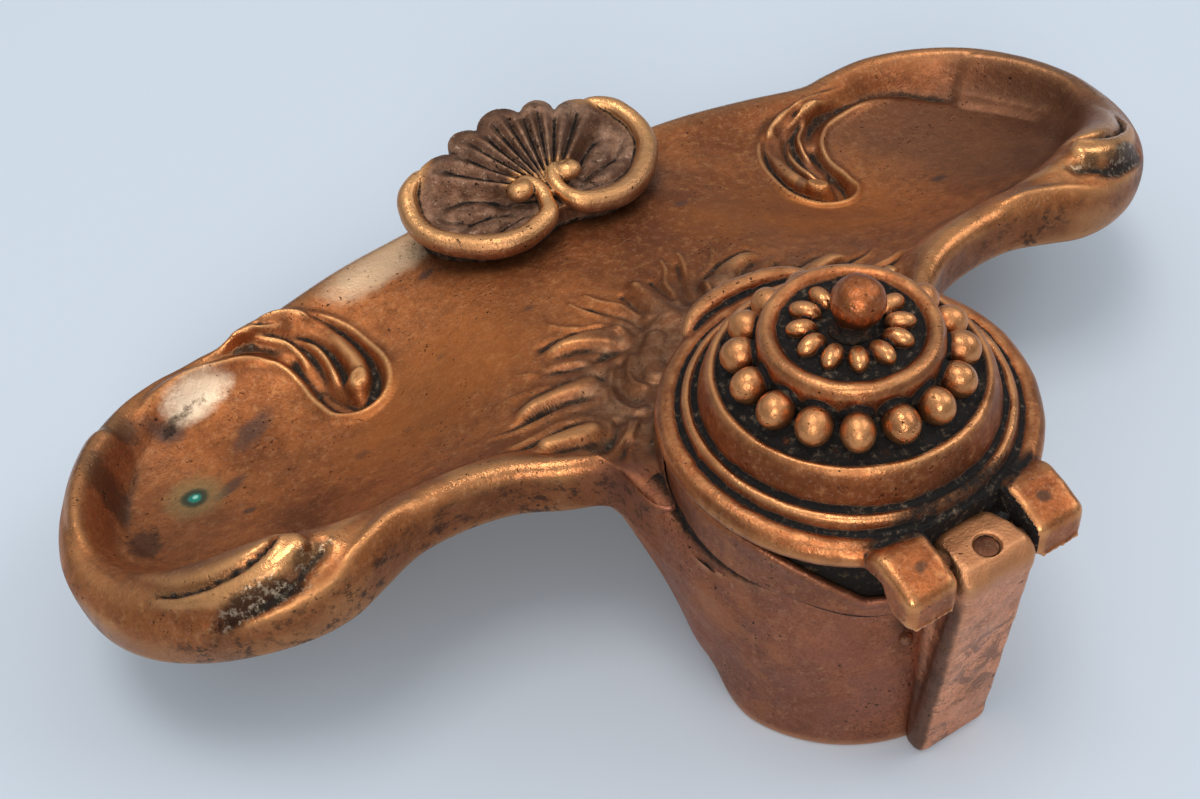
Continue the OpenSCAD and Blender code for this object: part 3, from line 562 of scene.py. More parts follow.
# Chased relief. Each row: how high it stands, its half width at its start and at its end, the
# shape of its back (0 round, 1 full and steep), and its line in millimetres on one wing.
relief_lines = [
    # raised lip round the scroll's head and back along the bowl
    (1.25, 1.1, 0.9, 0, ((67, -101.0), (61, -101.4), (56, -100.4), (52.5, -98.6), (48.4, -95.5), (45.7, -90.9),
     (44.4, -84.8), (43.9, -80.1), (44.8, -76.4), (46.9, -73.4), (49.7, -71.7), (52.8, -71.5), (55.5, -72.9),
     (57.6, -75.2), (58.1, -78.3), (58.5, -81.4), (58.6, -86), (59.9, -89.8), (62.2, -92.5), (65.2, -94.2),
     (69.7, -95), (74, -95.6), (78, -95.4), (82.5, -93.8))),
    # the scroll's three strands
    (1.3, 0.5, 0.75, 0, ((66, -98.6), (62.5, -98.2), (59.6, -96.3), (57.1, -94.3), (55.9, -91.1), (55.7, -87.9))),
    (1.4, 0.7, 0.9, 0, ((70, -98.6), (63, -98.8), (57.6, -97), (54.7, -94.8), (53, -91.8), (52.3, -88.5),
     (52.5, -84.9), (53.1, -81))),
    (2.2, 1.2, 2.0, 1, ((78, -98.6), (70, -99.6), (62.5, -99.8), (56.2, -98.4), (51.3, -94.8), (49, -89.8),
     (48.3, -84.7), (48.9, -81), (50.2, -78.6))),
    (1.2, 1.5, 1.5, 1, ((49.6, -78.6), (50.9, -76.9))),
    (-1.5, 1.7, 1.5, 0, ((54.4, -96.4), (51, -92), (50.6, -86), (51, -82))),
    (-1.3, 1.5, 1.7, 0, ((60, -99), (55.6, -95.6), (54.1, -92), (54.2, -86), (55.4, -80), (54, -76))),
    (-1.5, 1.5, 1.6, 0, ((57.4, -90), (57, -84), (55.9, -79.2), (53.6, -75.2), (50, -74.4), (47.4, -76.6),
     (46.3, -81), (46.5, -86), (47.6, -91), (50.4, -95.4))),
    (-1.3, 1.4, 1.5, 0, ((58.2, -91.6), (60.8, -95.4), (65.5, -97.3), (71, -98), (78, -97.6), (84, -95.2), (89, -91),
     (93, -86))),
    # leaf round the end of the wing, its slit, and the second leaf behind it
    (1.1, 3.4, 3.4, 1, ((96.4, -85.3), (100.8, -78.9), (103.3, -71.6), (103.3, -65.9), (101.3, -58), (98, -47.5),
     (93.6, -42), (88.6, -39.2), (84.6, -38))),
    (-1.6, 0.5, 0.8, 0, ((102.5, -46), (98.8, -40), (95, -37), (90.5, -35.4), (86.6, -35), (83.6, -35.6),
     (82.2, -37.6))),
    (1.6, 0.7, 2.3, 1, ((103.5, -45), (99.5, -39.2), (94.4, -34.8), (89.4, -32.6), (84.4, -32.4), (81.6, -33.4))),
    (1.2, 1.4, 1.5, 0, ((59.2, -33), (66, -31), (71.7, -28.6), (77.8, -25.9), (83, -25.5), (88, -26.6), (93, -29.4),
     (97.5, -33))),
    (-1.2, 0.7, 1.5, 0, ((98.2, -34.6), (94, -31.2), (89.5, -29.6), (84.8, -29), (79.9, -30.2), (75.6, -31.8))),
    # palmette: petals with their tails
    (1.65, 1.5, 2.7, 0, ((0, -61.5), (0, -56.3), (0, -50.8))),
    (1.74, 0.9, 2.7, 1, ((23.5, -56.4), (18.5, -55.4), (15, -54.2), (11.3, -51.4))),
    (1.74, 0.9, 2.3, 1, ((36.5, -45.2), (31, -44.8), (26.6, -44), (21.7, -42.6))),
    (1.53, 0.9, 2.5, 1, ((38, -33.6), (33.8, -33), (28.2, -32.4))),
    # veins beside the petals
    (0.52, 0.45, 0.8, 0, ((8.6, -67.2), (7.4, -62.9), (5, -59.2), (4.1, -55.2), (2.9, -51.5))),
    (0.52, 0.45, 0.8, 0, ((12, -66.6), (11.6, -63.8), (9.9, -60.3), (7.4, -56.1), (6.4, -52))),
    (0.46, 0.45, 0.8, 0, ((18.6, -64.2), (16.8, -60.9), (13.9, -58), (11.2, -56.8), (9.7, -53.8), (9.4, -50.2))),
    (0.52, 0.45, 0.9, 0, ((30.5, -56.4), (26.7, -52.8), (23, -51.9), (19.3, -49.8), (15.5, -46.1))),
    (0.41, 0.4, 0.7, 0, ((33.6, -51), (29.8, -49.6), (26.2, -47.8))),
    (0.57, 0.45, 1.0, 0, ((42.8, -44.6), (38.4, -41.8), (34, -41), (28.8, -40.8), (24.4, -39.4), (21.2, -39.4),
     (19.4, -41.6))),
    (0.52, 0.45, 0.9, 0, ((44.2, -38.4), (40, -37), (35.6, -37.3), (30.7, -37.6), (26.4, -35.6), (24.8, -32.4),
     (26.2, -29))),
    (-0.73, 0.8, 1.2, 0, ((24, -58.4), (19, -57.2), (14, -56.4), (10.6, -54.6))),
    (-0.80, 0.7, 1.4, 0, ((40, -43.2), (34, -42.8), (28, -42.6), (21.6, -40.9), (18.8, -43.4), (20, -45.8))),
    (-0.80, 0.7, 1.3, 0, ((42, -36), (36, -35.4), (29, -34.9), (25.6, -33.2), (26.6, -30.6), (30, -29.8))),
    (-0.73, 0.7, 1.3, 0, ((10.4, -64), (8.2, -58.6), (6, -54.6), (5, -50))),
    (-0.73, 0.7, 1.3, 0, ((27, -53.4), (21.5, -49.8), (16.5, -48.4), (12.6, -48.8), (9.4, -52))),
    (-0.67, 0.7, 1.1, 0, ((3.2, -62.5), (3.2, -58), (3.4, -53))),
    # lobes against the collar and the lines that run off them
    (0.74, 0.8, 0.8, 0, ((14.6, -45.6), (18.6, -41.2), (20.4, -36), (19.2, -32.2), (16.4, -31.4))),
    (0.67, 0.7, 0.7, 0, ((10.6, -46), (13.9, -42.6), (15.2, -38.8), (13.6, -35.8))),
    (1.04, 1.6, 1.9, 1, ((5.5, -46.8), (9.4, -42.6), (10.9, -38.2))),
    (-0.74, 1.0, 1.0, 0, ((12.8, -46.4), (16.4, -42.2), (17.8, -37.6), (16.6, -33.6))),
    (0.75, 0.5, 0.6, 0, ((19.3, -30.4), (22.3, -27.8), (25.1, -24.8), (27.6, -20.6), (30.4, -17.5))),
    (0.75, 0.5, 0.6, 0, ((33.4, -22.6), (28, -25), (23.9, -27.6), (20.2, -31.4))),
    (-0.75, 0.7, 0.8, 0, ((30, -25.8), (25.6, -28.8), (22.4, -32.6))),
    (-0.75, 0.7, 0.8, 0, ((30.2, -20.6), (26.6, -24.2), (23.6, -27)))]


def stroke(x, y, rise, start, end, full, line):
    """Height that one chased line adds at each point."""
    rows = np.array(line, float)
    path = walk(rows, 0, len(rows) - 1, 10)
    at = np.linspace(0, len(path) - 1, 160)
    path = np.array([np.interp(at, np.arange(len(path)), path[:, c]) for c in (0, 1)]).T
    reach = max(start, end) * 2.6 + 0.5
    low, high = path.min(0) - reach, path.max(0) + reach
    near = np.nonzero((x > low[0]) & (x < high[0]) & (y > low[1]) & (y < high[1]))[0]
    out = np.zeros(len(x))
    if len(near) == 0:
        return out
    gap = np.hypot(x[near, None] - path[None, :, 0], y[near, None] - path[None, :, 1])
    best = gap.argmin(1)
    t = best / (len(path) - 1)
    d = gap.min(1)
    wide = start + (end - start) * t
    round_back = np.exp(-(d / wide) ** 2)
    full_back = smooth(1.12 - (d / (1.35 * wide)) ** 2) ** 0.9
    ends = 1.0
    if start < 1.45:
        ends = smooth(t / 0.3) if full else smooth(t / 0.15) * smooth((1 - t) / 0.15) ** 0.7
    out[near] = rise * ends * (full_back if full else round_back)
    return out


def chased(x, y):
    """Whether a place of a wing carries a chased line, or lies close to one."""
    marks = sum(np.abs(stroke(x, y, 1.0, r[1] * 1.5, r[2] * 1.5, 0, r[4])) for r in relief_lines)
    return (marks > 0.02) & (y < -15)


# The faces on top that carry chased lines are made finer before the lines are raised.
scroll_nearer = 6.3    # how much nearer the hinge the right wing's scroll sits
bpy.ops.object.mode_set(mode="EDIT")
bpy.ops.mesh.select_all(action="DESELECT")
bpy.ops.object.mode_set(mode="OBJECT")
middles, ups = read(tray.data.polygons, "center") / MM, read(tray.data.polygons, "normal")
face_x, face_y = np.abs(middles[:, 0]), middles[:, 1]
right_scroll = chased(face_x, face_y - scroll_nearer) & (middles[:, 0] < -38) & (face_y < -58)
tray.data.polygons.foreach_set("select", (chased(face_x, face_y) | right_scroll) & (ups[:, 2] > 0.1))
bpy.ops.object.mode_set(mode="EDIT")
bpy.ops.mesh.select_mode(type="FACE")
bpy.ops.mesh.subdivide(number_cuts=1)
bpy.ops.object.mode_set(mode="OBJECT")
tray_now, tray_up = points_of(tray), normals_of(tray)
wing_x, wing_y = np.abs(tray_now[:, 0]), tray_now[:, 1].copy()
wing_y -= np.where(tray_now[:, 0] < -38, scroll_nearer, 0.0) * smooth((-55 - wing_y) / 12)
lift = sum(stroke(wing_x, wing_y, *row) for row in relief_lines)
tray_now[:, 2] += np.clip(lift, -1.9, 2.6) * smooth((tray_up[:, 2] - 0.05) / 0.4) * smooth((-15 - wing_y) / 3)
tray_reach, tray_turn = polar(tray_now)
# The tray's end is filled up between its crest and the collar, and melted into both.
end_crest = np.interp(tray_turn, (-40, -31.5, -24.5, -18.5, -14, -12), (40, 35.6, 33.2, 31.9, 31.2, 29.4))
fill = (smooth((tray_turn + 46) / 20) * smooth((-9 - tray_turn) / 2) * smooth((end_crest - tray_reach + 1.4) / 2.6)
        * (tray_up[:, 2] > 0.1))
beside = 1.7 * np.exp(-((tray_reach - 28.8) / 0.9) ** 2) + 0.10 * np.maximum(end_crest - tray_reach, 0)
tray_now[:, 2] = mix(tray_now[:, 2], np.maximum(tray_now[:, 2], 41.8 - beside), fill)
calm = smooth((tray_turn + 52) / 24) * smooth((46 - tray_reach) / 10)
melt = calm * smooth((tray_reach - 29.2) / 1.6)
tray_now = mix(tray_now, eased(tray_now, edges_of(tray), 9), melt[:, None])
set_points(tray, tray_now)
bpy.ops.object.shade_smooth()
mark_wear(tray, 4, 24, (0.24, 1.1))
crease = np.exp(-((tray_reach - 29.1) / 1.2) ** 2) * smooth((tray_turn + 60) / 20) * (tray_now[:, 2] > 36)
palm = np.exp(-((tray_now[:, 0] / 40) ** 2 + ((tray_now[:, 1] + 40) / 21) ** 2) ** 2)
set_wear(tray, "hollow", np.clip(wear_of(tray, "hollow") * (1 - 0.3 * palm) + 0.62 * crease, 0, 1.5))
set_wear(tray, "proud", wear_of(tray, "proud") * (1 - 0.65 * palm) * (1 - 0.9 * calm))
# The crest value lowers roughness along the rim's crest, and also paints a gold highlight there.
crest_gap = gap_to(tray_now, inset(opened * roll * 0.7, crest))
set_wear(tray, "crest", 0.8 * np.exp(-(crest_gap / 2.3) ** 2) * (1 - calm))
tray.data.materials.append(copper("tray copper", stains=(bowl_stains_and_sheen, palmette_grime, rim_grime_shade_and_highlight, verdigris),
                                  ash_and_shade_tones=((0.020, 0.014, 0.010), (0.22, 0.165, 0.11)), shine=0.40, polish="crest"))
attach(tray, "stand")
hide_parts("pen_tray")

# ---------------------------------------------------------------- shell ornament
# A cast shell with two volutes stands on the front edge of the tray. It is a separate casting,
# soldered on, and its rims are rubbed bright by the hand that draws the pen.
shell_heart = np.array([0.0, -90.0])
# The shell's edge: how far round from the front, how far out, and height.
shell_edge = np.array([(0, 22.4, 44.9), (20, 22.8, 44.3), (36, 24.6, 42.9), (50, 27.0, 41.2), (60, 28.2, 38.6),
                       (70, 27.0, 36.8), (80, 24.6, 35.9), (92, 20.5, 35.4), (105, 16.4, 35.2), (118, 12.2, 35.3),
                       (129, 8.0, 35.7), (140, 4.6, 36.2), (160, 3.4, 36.4), (180, 3.0, 36.4)])


def shell_rim(turn, column):
    return np.interp(abs(turn), shell_edge[:, 0], shell_edge[:, column])


def shell_point(turn, out, z):
    a = math.radians(turn)
    return (shell_heart[0] + out * math.sin(a), shell_heart[1] - out * math.cos(a), z)


def tube(name, points, radii, sides=14):
    """A round bar along a path, closed at its ends."""
    points, radii = np.array(points, float), np.array(radii, float)
    ahead = np.gradient(points, axis=0)
    ahead /= np.linalg.norm(ahead, axis=1)[:, None]
    corners, faces = [], []
    for p, d, r in zip(points, ahead, radii):
        across = np.cross(d, (0, 0, 1))
        across /= np.linalg.norm(across)
        over = np.cross(across, d)
        for k in range(sides):
            a = 2 * math.pi * k / sides
            corners.append(p + r * (math.cos(a) * across + math.sin(a) * over))
    n = len(points)
    for i in range(n - 1):
        faces += band(i * sides, (i + 1) * sides, sides)
    faces.append(tuple(range(sides)))
    faces.append(tuple((n - 1) * sides + k for k in range(sides))[::-1])
    return new_piece(name, corners, faces)


def curve_through(rows, count):
    rows = np.array(rows, float)
    return even_steps(walk(rows, 0, len(rows) - 1), count - 1, 3)


def join_into(name, pieces):
    """Joins pieces into one and gives it a name."""
    deselect()
    for piece in pieces:
        piece.select_set(True)
    bpy.context.view_layer.objects.active = pieces[0]
    bpy.ops.object.join()
    joined = bpy.context.object
    joined.name = joined.data.name = name
    return joined


def ball(place, radii, turn=0.0, rings=20):
    """A bead: a sphere at its place in millimetres, stretched, and turned about the upright."""
    deselect()
    bpy.ops.mesh.primitive_uv_sphere_add(segments=2 * rings, ring_count=rings, radius=MM)
    bead = bpy.context.object
    bead.data.transform(Matrix.Diagonal((*radii, 1)))
    bead.data.transform(Matrix.Rotation(turn, 4, "Z"))
    bead.data.transform(Matrix.Translation(Vector(place) * MM))
    return bead


def cast_skin(piece, grain, ease_times, dents=0.05, dent_size=7.0):
    """Melts joined pieces into one skin of small faces, as a casting is, with faint dents."""
    pick(piece)
    piece.data.remesh_voxel_size = grain * MM
    bpy.ops.object.voxel_remesh()
    ends = edges_of(piece)
    points = eased(points_of(piece), ends, ease_times)
    set_points(piece, points)
    normals = normals_of(piece)
    waves = (((0.8, 0.5, 0.33), 1.0, 0.4), ((-0.4, 0.7, 0.6), 1.37, 2.1), ((0.3, -0.75, 0.58), 1.9, 4.0),
             ((0.62, 0.2, -0.75), 2.7, 1.0))
    wave = sum(np.sin(points @ np.array(axis) * (6.283 / dent_size * scale) + shift) / scale
               for axis, scale, shift in waves)
    set_points(piece, points + normals * (wave * dents / 2)[:, None])
    bpy.ops.object.shade_smooth()


dish_turns = np.arange(-180, 180, 1.5)
dish_steps = np.linspace(0, 1, 40)
lobe_edges = np.array([-57.0, -33, -14, 14, 33, 57])
# Petals of the bowls: how far round, how far out, half length, half width and height.
lobe_petals = ((66, 17.5, 5.2, 2.3, 1.5), (84, 15.5, 4.8, 2.0, 1.3), (103, 12.0, 4.0, 1.6, 1.1))
dish_top, dish_low = [], []
for t in dish_steps:
    for turn in dish_turns:
        a = abs(turn)
        edge_r, edge_z = shell_rim(turn, 1), shell_rim(turn, 2)
        fan = smooth((60 - a) / 8)
        k = int(np.clip(np.searchsorted(lobe_edges, turn) - 1, 0, 4))
        u = np.clip((turn - lobe_edges[k]) / (lobe_edges[k + 1] - lobe_edges[k]), 0, 1)
        swell = math.sin(math.pi * u) ** 0.55 if a < 57 else 0.0
        reach = edge_r * (1 - fan * 0.12 * (1 - swell))
        count = 3 if k == 2 else 2
        ribs = abs(math.sin(math.pi * count * u)) ** 1.1 if a < 57 else 0.0
        fade = smooth(t / 0.22) * smooth((0.97 - t) / 0.25)
        fan_z = mix(38.3, edge_z, t ** 1.35) + 1.7 * (ribs - 0.6) * fade + 0.9 * (swell - 0.6) * smooth(t / 0.4)
        fan_z -= 0.9 * smooth((t - 0.86) / 0.14) ** 2
        bowl_z = mix(36.2, edge_z + 0.1, t ** 3) - 0.7 * math.exp(-((t - 0.45) / 0.3) ** 2) * smooth((150 - a) / 25)
        for petal, far, long, wide, high in lobe_petals:
            across = math.radians(a - petal) * reach * t
            along_it = reach * t - far + 2.0
            round_it = (across / wide) ** 2 + (along_it / long) ** 2
            bowl_z += high * 0.62 * smooth(1.15 - round_it) - 0.5 * math.exp(-((round_it - 1.6) / 0.5) ** 2)
        z = mix(bowl_z, fan_z, fan)
        dish_top.append(shell_point(turn, max(reach * t, 0.01), z))
        out = shell_point(turn, reach * t * (1 - 0.05 * (1 - fan)), 0)
        base = floor_level(*out[:2])
        front = -(109.6 - 0.0023 * out[0] ** 2)
        over = smooth((out[1] - front - 0.5) / 2.5)
        dish_low.append((out[0], out[1], min(z - 1.7, mix(z - 2.6, base + 0.2, over))))
columns = len(dish_turns)
level = len(dish_top)
dish_faces = []
for k in range(len(dish_steps) - 1):
    for i in range(columns):
        j = (i + 1) % columns
        a, b = k * columns, (k + 1) * columns
        dish_faces.append((a + i, b + i, b + j, a + j))
        dish_faces.append((level + a + i, level + a + j, level + b + j, level + b + i))
last = (len(dish_steps) - 1) * columns
for i in range(columns):
    j = (i + 1) % columns
    dish_faces.append((last + i, level + last + i, level + last + j, last + j))
shell_parts = [new_piece("shell dish", dish_top + dish_low, dish_faces)]
volute_lines = []
for hand in (1, -1):
    rim_path = [(*shell_point(hand * turn, shell_rim(turn, 1), 0)[:2], shell_rim(turn, 2) + up, r)
                for turn, up, r in ((42, -3.0, 0.8), (49, -1.6, 1.5), (58, -0.5, 2.0), (69, -0.1, 2.1),
                                    (80, 0.1, 2.2), (92, 0.2, 2.35), (105, 0.2, 2.45), (118, 0.3, 2.4),
                                    (129, 0.4, 2.25), (139, 0.7, 2.0))]
    rim_path += [(hand * 2.0, -89.4, 37.5, 1.6), (hand * 1.75, -92.2, 38.5, 1.45), (hand * 2.9, -94.7, 39.2, 1.2),
                 (hand * 4.2, -95.0, 39.2, 1.1)]
    rim = curve_through(rim_path, 110)
    volute_lines.append(rim[:, :3])
    shell_parts.append(tube("shell rim", rim[:, :3], rim[:, 3]))
    shell_parts.append(ball((hand * 5.2, -93.2, 39.0), (2.9, 2.5, 2.0), hand * 0.5))
shell = join_into("shell_casting", shell_parts)
cast_skin(shell, 0.27, 3, dents=0.05)
shell_now = points_of(shell)
for hand in (1, -1):
    dimple = np.hypot(shell_now[:, 0] - hand * 5.0, shell_now[:, 1] + 94.3) / 0.9
    shell_now[:, 2] -= 0.55 * np.exp(-dimple ** 2) * (shell_now[:, 2] > 38)
set_points(shell, shell_now)
mark_wear(shell, 5, 24)
# Dirt and painted shade: the shell's lowest parts, under its rim where it sits on the tray, are made darker.
dirt_and_shade_under_rim = smooth((33.6 - shell_now[:, 2]) / 1.4) * (shell_now[:, 1] > -107)
add_dirt_and_shade(shell, 0.55 * dirt_and_shade_under_rim)
ridge_lines = np.vstack(volute_lines)
ridge_gap = gap_to(shell_now - (0, 0, 0.7), ridge_lines)
for hand in (1, -1):
    ridge_gap = np.minimum(ridge_gap, np.linalg.norm(shell_now - (hand * 5.4, -93.3, 40.2), axis=1) * 0.75)
set_wear(shell, "ridge", np.exp(-(ridge_gap / 2.1) ** 4))


def shell_dust(place, tone, noise):
    """The volutes are rubbed bright; the dish between them keeps a dull grey-brown skin."""
    ridge = worn(place, "ridge")
    cloud = noise(130, 5, 0.65)
    dull = cloud.ramp(0.38, 0.66).mix((0.11, 0.062, 0.042), (0.36, 0.215, 0.14))
    dull = (noise(300, 5, 0.75).ramp(0.46, 0.62) * 0.7).mix(dull, (0.060, 0.040, 0.032))
    dull = (noise(900, 3, 0.7).ramp(0.60, 0.70) * 0.5).mix(dull, (0.55, 0.42, 0.31))
    tone = ((1 - ridge) * 0.85).mix(tone, dull)
    return (ridge * 0.8).mix(tone, (0.76, 0.39, 0.155))


shell.data.materials.append(copper("shell copper", dirt=1.35, shine=0.50, grain=1.5, stains=(shell_dust,),
                                   polish="ridge"))

# Dirt and painted shade darken the tray round the shell's foot.
foot_gap = np.full(len(tray_now), 99.0)
near_shell = np.nonzero(np.hypot(tray_now[:, 0], tray_now[:, 1] + 92) < 36)[0]
foot_gap[near_shell] = gap_to(tray_now[near_shell, :2], ridge_lines[:, :2])
foot_dirt_and_shade = 0.30 * np.exp(-(foot_gap / 3.7) ** 4) * (tray_now[:, 1] > -105)
add_dirt_and_shade(tray, foot_dirt_and_shade)
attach(shell, "stand")
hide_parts("shell_mount")

# ---------------------------------------------------------------- inkwell cup
# The cup is a thick cast drum. Its wall flares out to meet the tray's rim, with no step left
# between them, and its mouth is bored with a ledge for the glass liner. It is duller and pinker
# than the parts that hands rub, and painted black as shade where the collar leaves it bare.
foot_radius, mouth_radius = 26.6, 27.2
# Each table runs from the shell (-90) to the hinge (90): how far the flare reaches out, how high
# the shoulder lies, and over how much height it rounds off.
flare_reach = np.array([(-180, 12.0), (-90, 12.0), (-60, 11.6), (-45, 10.8), (-36, 9.9), (-31.5, 9.2), (-28.6, 8.3),
                        (-24.5, 6.9), (-18.5, 5.3), (-14, 4.6), (-8, 3.8), (0, 2.8), (10, 1.9), (20, 1.2), (30, 0.7),
                        (45, 0.3), (60, 0), (90, 0)])
shoulder_level = np.array([(-180, 39.0), (-34, 39.0), (-31.5, 40.6), (-28, 41.6), (-25, 42.0), (-18, 42.3),
                           (-13, 42.4), (-8, 42.0), (0, 41.1), (8, 40.4), (18, 39.9), (30, 39.4), (42, 38.6),
                           (50, 37.6), (60, 36.6), (90, 36.3)])
shoulder_fall = np.array([(-180, 2.4), (-31, 2.4), (-16, 2.6), (-10, 5.0), (-3, 8.5), (6, 11.0), (20, 10.0),
                          (32, 6.0), (45, 2.0), (90, 1.0)])
cup_turns = np.arange(0, 360, 1.5)


def from_rows(rows, x):
    return np.interp(x, rows[:, 0], rows[:, 1])


def ahead_of(a):
    """How far a direction looks towards the hinge: -90 at the shell, 90 at the hinge."""
    return math.degrees(math.asin(math.sin(a)))


wall_steps = np.concatenate([[0, 0.012, 0.03], np.linspace(0.06, 0.94, 44), [0.965, 0.985, 1.0]])
cup_rings = []
for step in wall_steps:
    for turn in cup_turns:
        a = math.radians(turn)
        ahead = ahead_of(a)
        reach, top = from_rows(flare_reach, ahead), from_rows(shoulder_level, ahead)
        z = step * top
        under_tray = smooth((-31 - ahead) / 4)
        grow = np.interp(z, (0, 5, 8, 30.5, 60), (0, 0, 0.05, 1, 1))
        gusset = smooth((-33 - ahead) / 4) * smooth((ahead + 85) / 25)
        grow += 0.28 * gusset * max(0.0, (min(z, 31) - 21) / 10) ** 2.2
        grow *= mix(1.0, np.interp(z, (0, 30.8, 31.4, 39, 60), (1, 1, 0.98, 0.03, 0.03)), under_tray)
        wall = mix(foot_radius, mouth_radius, min(1, z / 41.3)) - 0.5 * (1 - smooth(z / 0.7))
        wall -= 3.7 * smooth((22 - ahead) / 42) * max(0.0, 1 - z / 9.5) ** 1.1
        r = wall + reach * grow
        into = min(r - 0.2, 28.3)
        fall = from_rows(shoulder_fall, ahead)
        edge = np.clip((z - (top - fall)) / fall, 0, 1)
        r = mix(r, into, 1 - math.sqrt(max(0.0, 1 - edge ** 2)))
        groove = (1.1 * math.exp(-((r - 28.9) / 0.8) ** 2) * smooth((ahead + 15) / 3) * smooth((60 - ahead) / 10)
                  * (z > 38))
        cup_rings.append((r * math.cos(a), r * math.sin(a), z - groove))
inner_rows = [(27.2, 39.8), (27.2, 43), (27.2, 46), (27.2, 49.4), (26.7, 49.9), (25.0, 49.7), (25.0, 46.5),
              (23.0, 46.5), (23.0, 5.0), (21.0, 3.0), (0.01, 3.0)]
for r, z in inner_rows:
    for turn in cup_turns:
        a = math.radians(turn)
        over = max(z, from_rows(shoulder_level, ahead_of(a)) + 0.2) if z < 43 and r > 27 else z
        cup_rings.append((r * math.cos(a), r * math.sin(a), over))
cup_faces = []
columns = len(cup_turns)
for k in range(len(wall_steps) + len(inner_rows) - 1):
    cup_faces += band(k * columns, (k + 1) * columns, columns)
cup_faces.append(tuple(range(columns))[::-1])


def cup_bloom(place, tone, noise):
    """A dull purple-brown bloom in clouds, orange where it is thin, with fine dark scratches."""
    cloud = noise(42, 5, 0.65, 0.8)
    tone = (cloud.ramp(0.50, 0.66) * 0.55).mix(tone, (0.30, 0.112, 0.074))
    tone = (cloud.ramp(0.46, 0.34) * 0.5).mix(tone, (0.46, 0.165, 0.062))
    hair = noise(330, 2, 0.5, 3.5)
    line = (1 - ((hair - 0.5) * 30.0).math("ABSOLUTE").ramp(0.0, 0.7)) * noise(38, 3).ramp(0.50, 0.62)
    return (line * 0.75).mix(tone, (0.055, 0.028, 0.020))


cup_wall = new_piece("cup wall", cup_rings, cup_faces)
rivet = ball((8.2, 25.9, 28.4), (1.15, 1.15, 1.15), 0, 12)
cup = join_into("cup_casting", [cup_wall, rivet])
bpy.ops.object.shade_smooth_by_angle(angle=math.radians(50))
mark_wear(cup, 3, 16)
cup_now = points_of(cup)
cup_reach, cup_turn = polar(cup_now)
over = cup_now[:, 2] - from_rows(shoulder_level, cup_turn)
# Painted shade: the cup's bare mouth above the shoulder, in the gap under the lid, is painted black; a faint dark
# line also follows the joint at the collar's foot.
gap_shade_and_crease_line = smooth(over - 0.2) * smooth((28.2 - cup_reach) / 0.6) * (cup_reach > 26)
gap_shade_and_crease_line = np.maximum(gap_shade_and_crease_line, 0.26 * np.exp(-(np.hypot(over * 0.7, cup_reach - 29.0) / 1.5) ** 2) * (cup_reach > 28))
near_post = (np.exp(-((np.abs(cup_now[:, 0]) - 8.2) / 2.2) ** 2) * smooth((cup_now[:, 1] - 20) / 4)
             * smooth((cup_now[:, 2] - 14) / 22))
add_dirt_and_shade(cup, 2.5 * gap_shade_and_crease_line + 0.6 * near_post, 2.5)
by_tray = smooth((cup_now[:, 2] - 36) / 3) * smooth((5 - cup_turn) / 12)
set_wear(cup, "proud", wear_of(cup, "proud") * (1 - 0.9 * by_tray))
cup.data.materials.append(copper("cup copper", warm=(0.44, 0.150, 0.068), deep=(0.26, 0.095, 0.057),
                                 gold=(0.66, 0.32, 0.165), shine=0.44, grain=1.5, stains=(cup_bloom,)))
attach(cup, "stand")
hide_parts("inkwell_cup")

# ---------------------------------------------------------------- collar
# A cast ring soldered round the cup's mouth. Its top edge sinks towards the hinge, which leaves
# a black gap under the lid, and a pitted crease runs below it.
collar_points, collar_faces = [], []
for turn in cup_turns:
    a = math.radians(turn)
    y = 28.6 * math.sin(a)
    low = 39.3 - 3.0 * smooth((ahead_of(a) - 30) / 30)
    top = 49.1 if y < 7 else 27.4 + math.sqrt(21.7 ** 2 - (min(y, 25.6) - 7) ** 2)
    top = max(top, 40.6, low + 3.6)
    swell = 0.22 * math.sin(3 * a + 0.6) + 0.12 * math.sin(7 * a)
    section = [(26.8, low), (27.9, low), (28.45, low + 0.3), (28.7, low + 0.9), (28.62, low + 1.9 + swell),
               (28.5, mix(low, top, 0.6)), (28.72, top - 1.5), (28.82, top - 0.8), (28.6, top - 0.25), (28.1, top),
               (27.5, top - 0.1), (27.24, top - 0.5)]
    collar_points += [(r * math.cos(a), r * math.sin(a), z) for r, z in section]
n = len(section)
for i in range(columns):
    collar_faces += [(p, s, r, q) for p, q, r, s in band(i * n, (i + 1) % columns * n, n)]
collar = new_piece("collar_ring", collar_points, collar_faces)
reshape(collar, "SUBSURF", levels=2, render_levels=2)
bpy.ops.object.shade_smooth()
mark_wear(collar, 4, 20, (0.10, 0.6))
collar_now = points_of(collar)
low_edge = smooth(from_rows(shoulder_level, polar(collar_now)[1]) + 1.0 - collar_now[:, 2])
add_dirt_and_shade(collar, 0.75 * low_edge, 2)
collar.data.materials.append(copper("collar copper", warm=(0.42, 0.145, 0.066), deep=(0.25, 0.090, 0.050),
                                    gold=(0.74, 0.34, 0.13), shine=0.40, grain=1.5, dirt=1.2, stains=(cup_bloom,)))
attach(collar, "stand")
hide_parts("cup_collar")

# ---------------------------------------------------------------- hinge post and plug
# A leaning bar of cast copper is soldered up the cup's near side. Its head is rounded between
# the lid's ears, and a round plug closes the core hole in it.
post_side = [(25.6, 0.0, 7.2), (30.0, 0.0, 7.2), (36.2, 46.4, 6.9), (36.25, 48.2, 6.9), (35.6, 49.8, 6.8),
             (34.2, 50.7, 6.7), (30.6, 51.0, 6.6), (26.0, 50.5, 4.9), (25.4, 41.0, 5.6)]


def soft_bar(name, corners, width, angle):
    """A bar between two outlines, the corners of one and then of the other, with rounded edges."""
    n = len(corners) // 2
    bar = new_piece(name, corners, [tuple(range(n))[::-1], tuple(range(n, 2 * n))] + band(0, n, n))
    reshape(bar, "BEVEL", width=width * MM, segments=6, limit_method="ANGLE", angle_limit=math.radians(angle))
    return bar


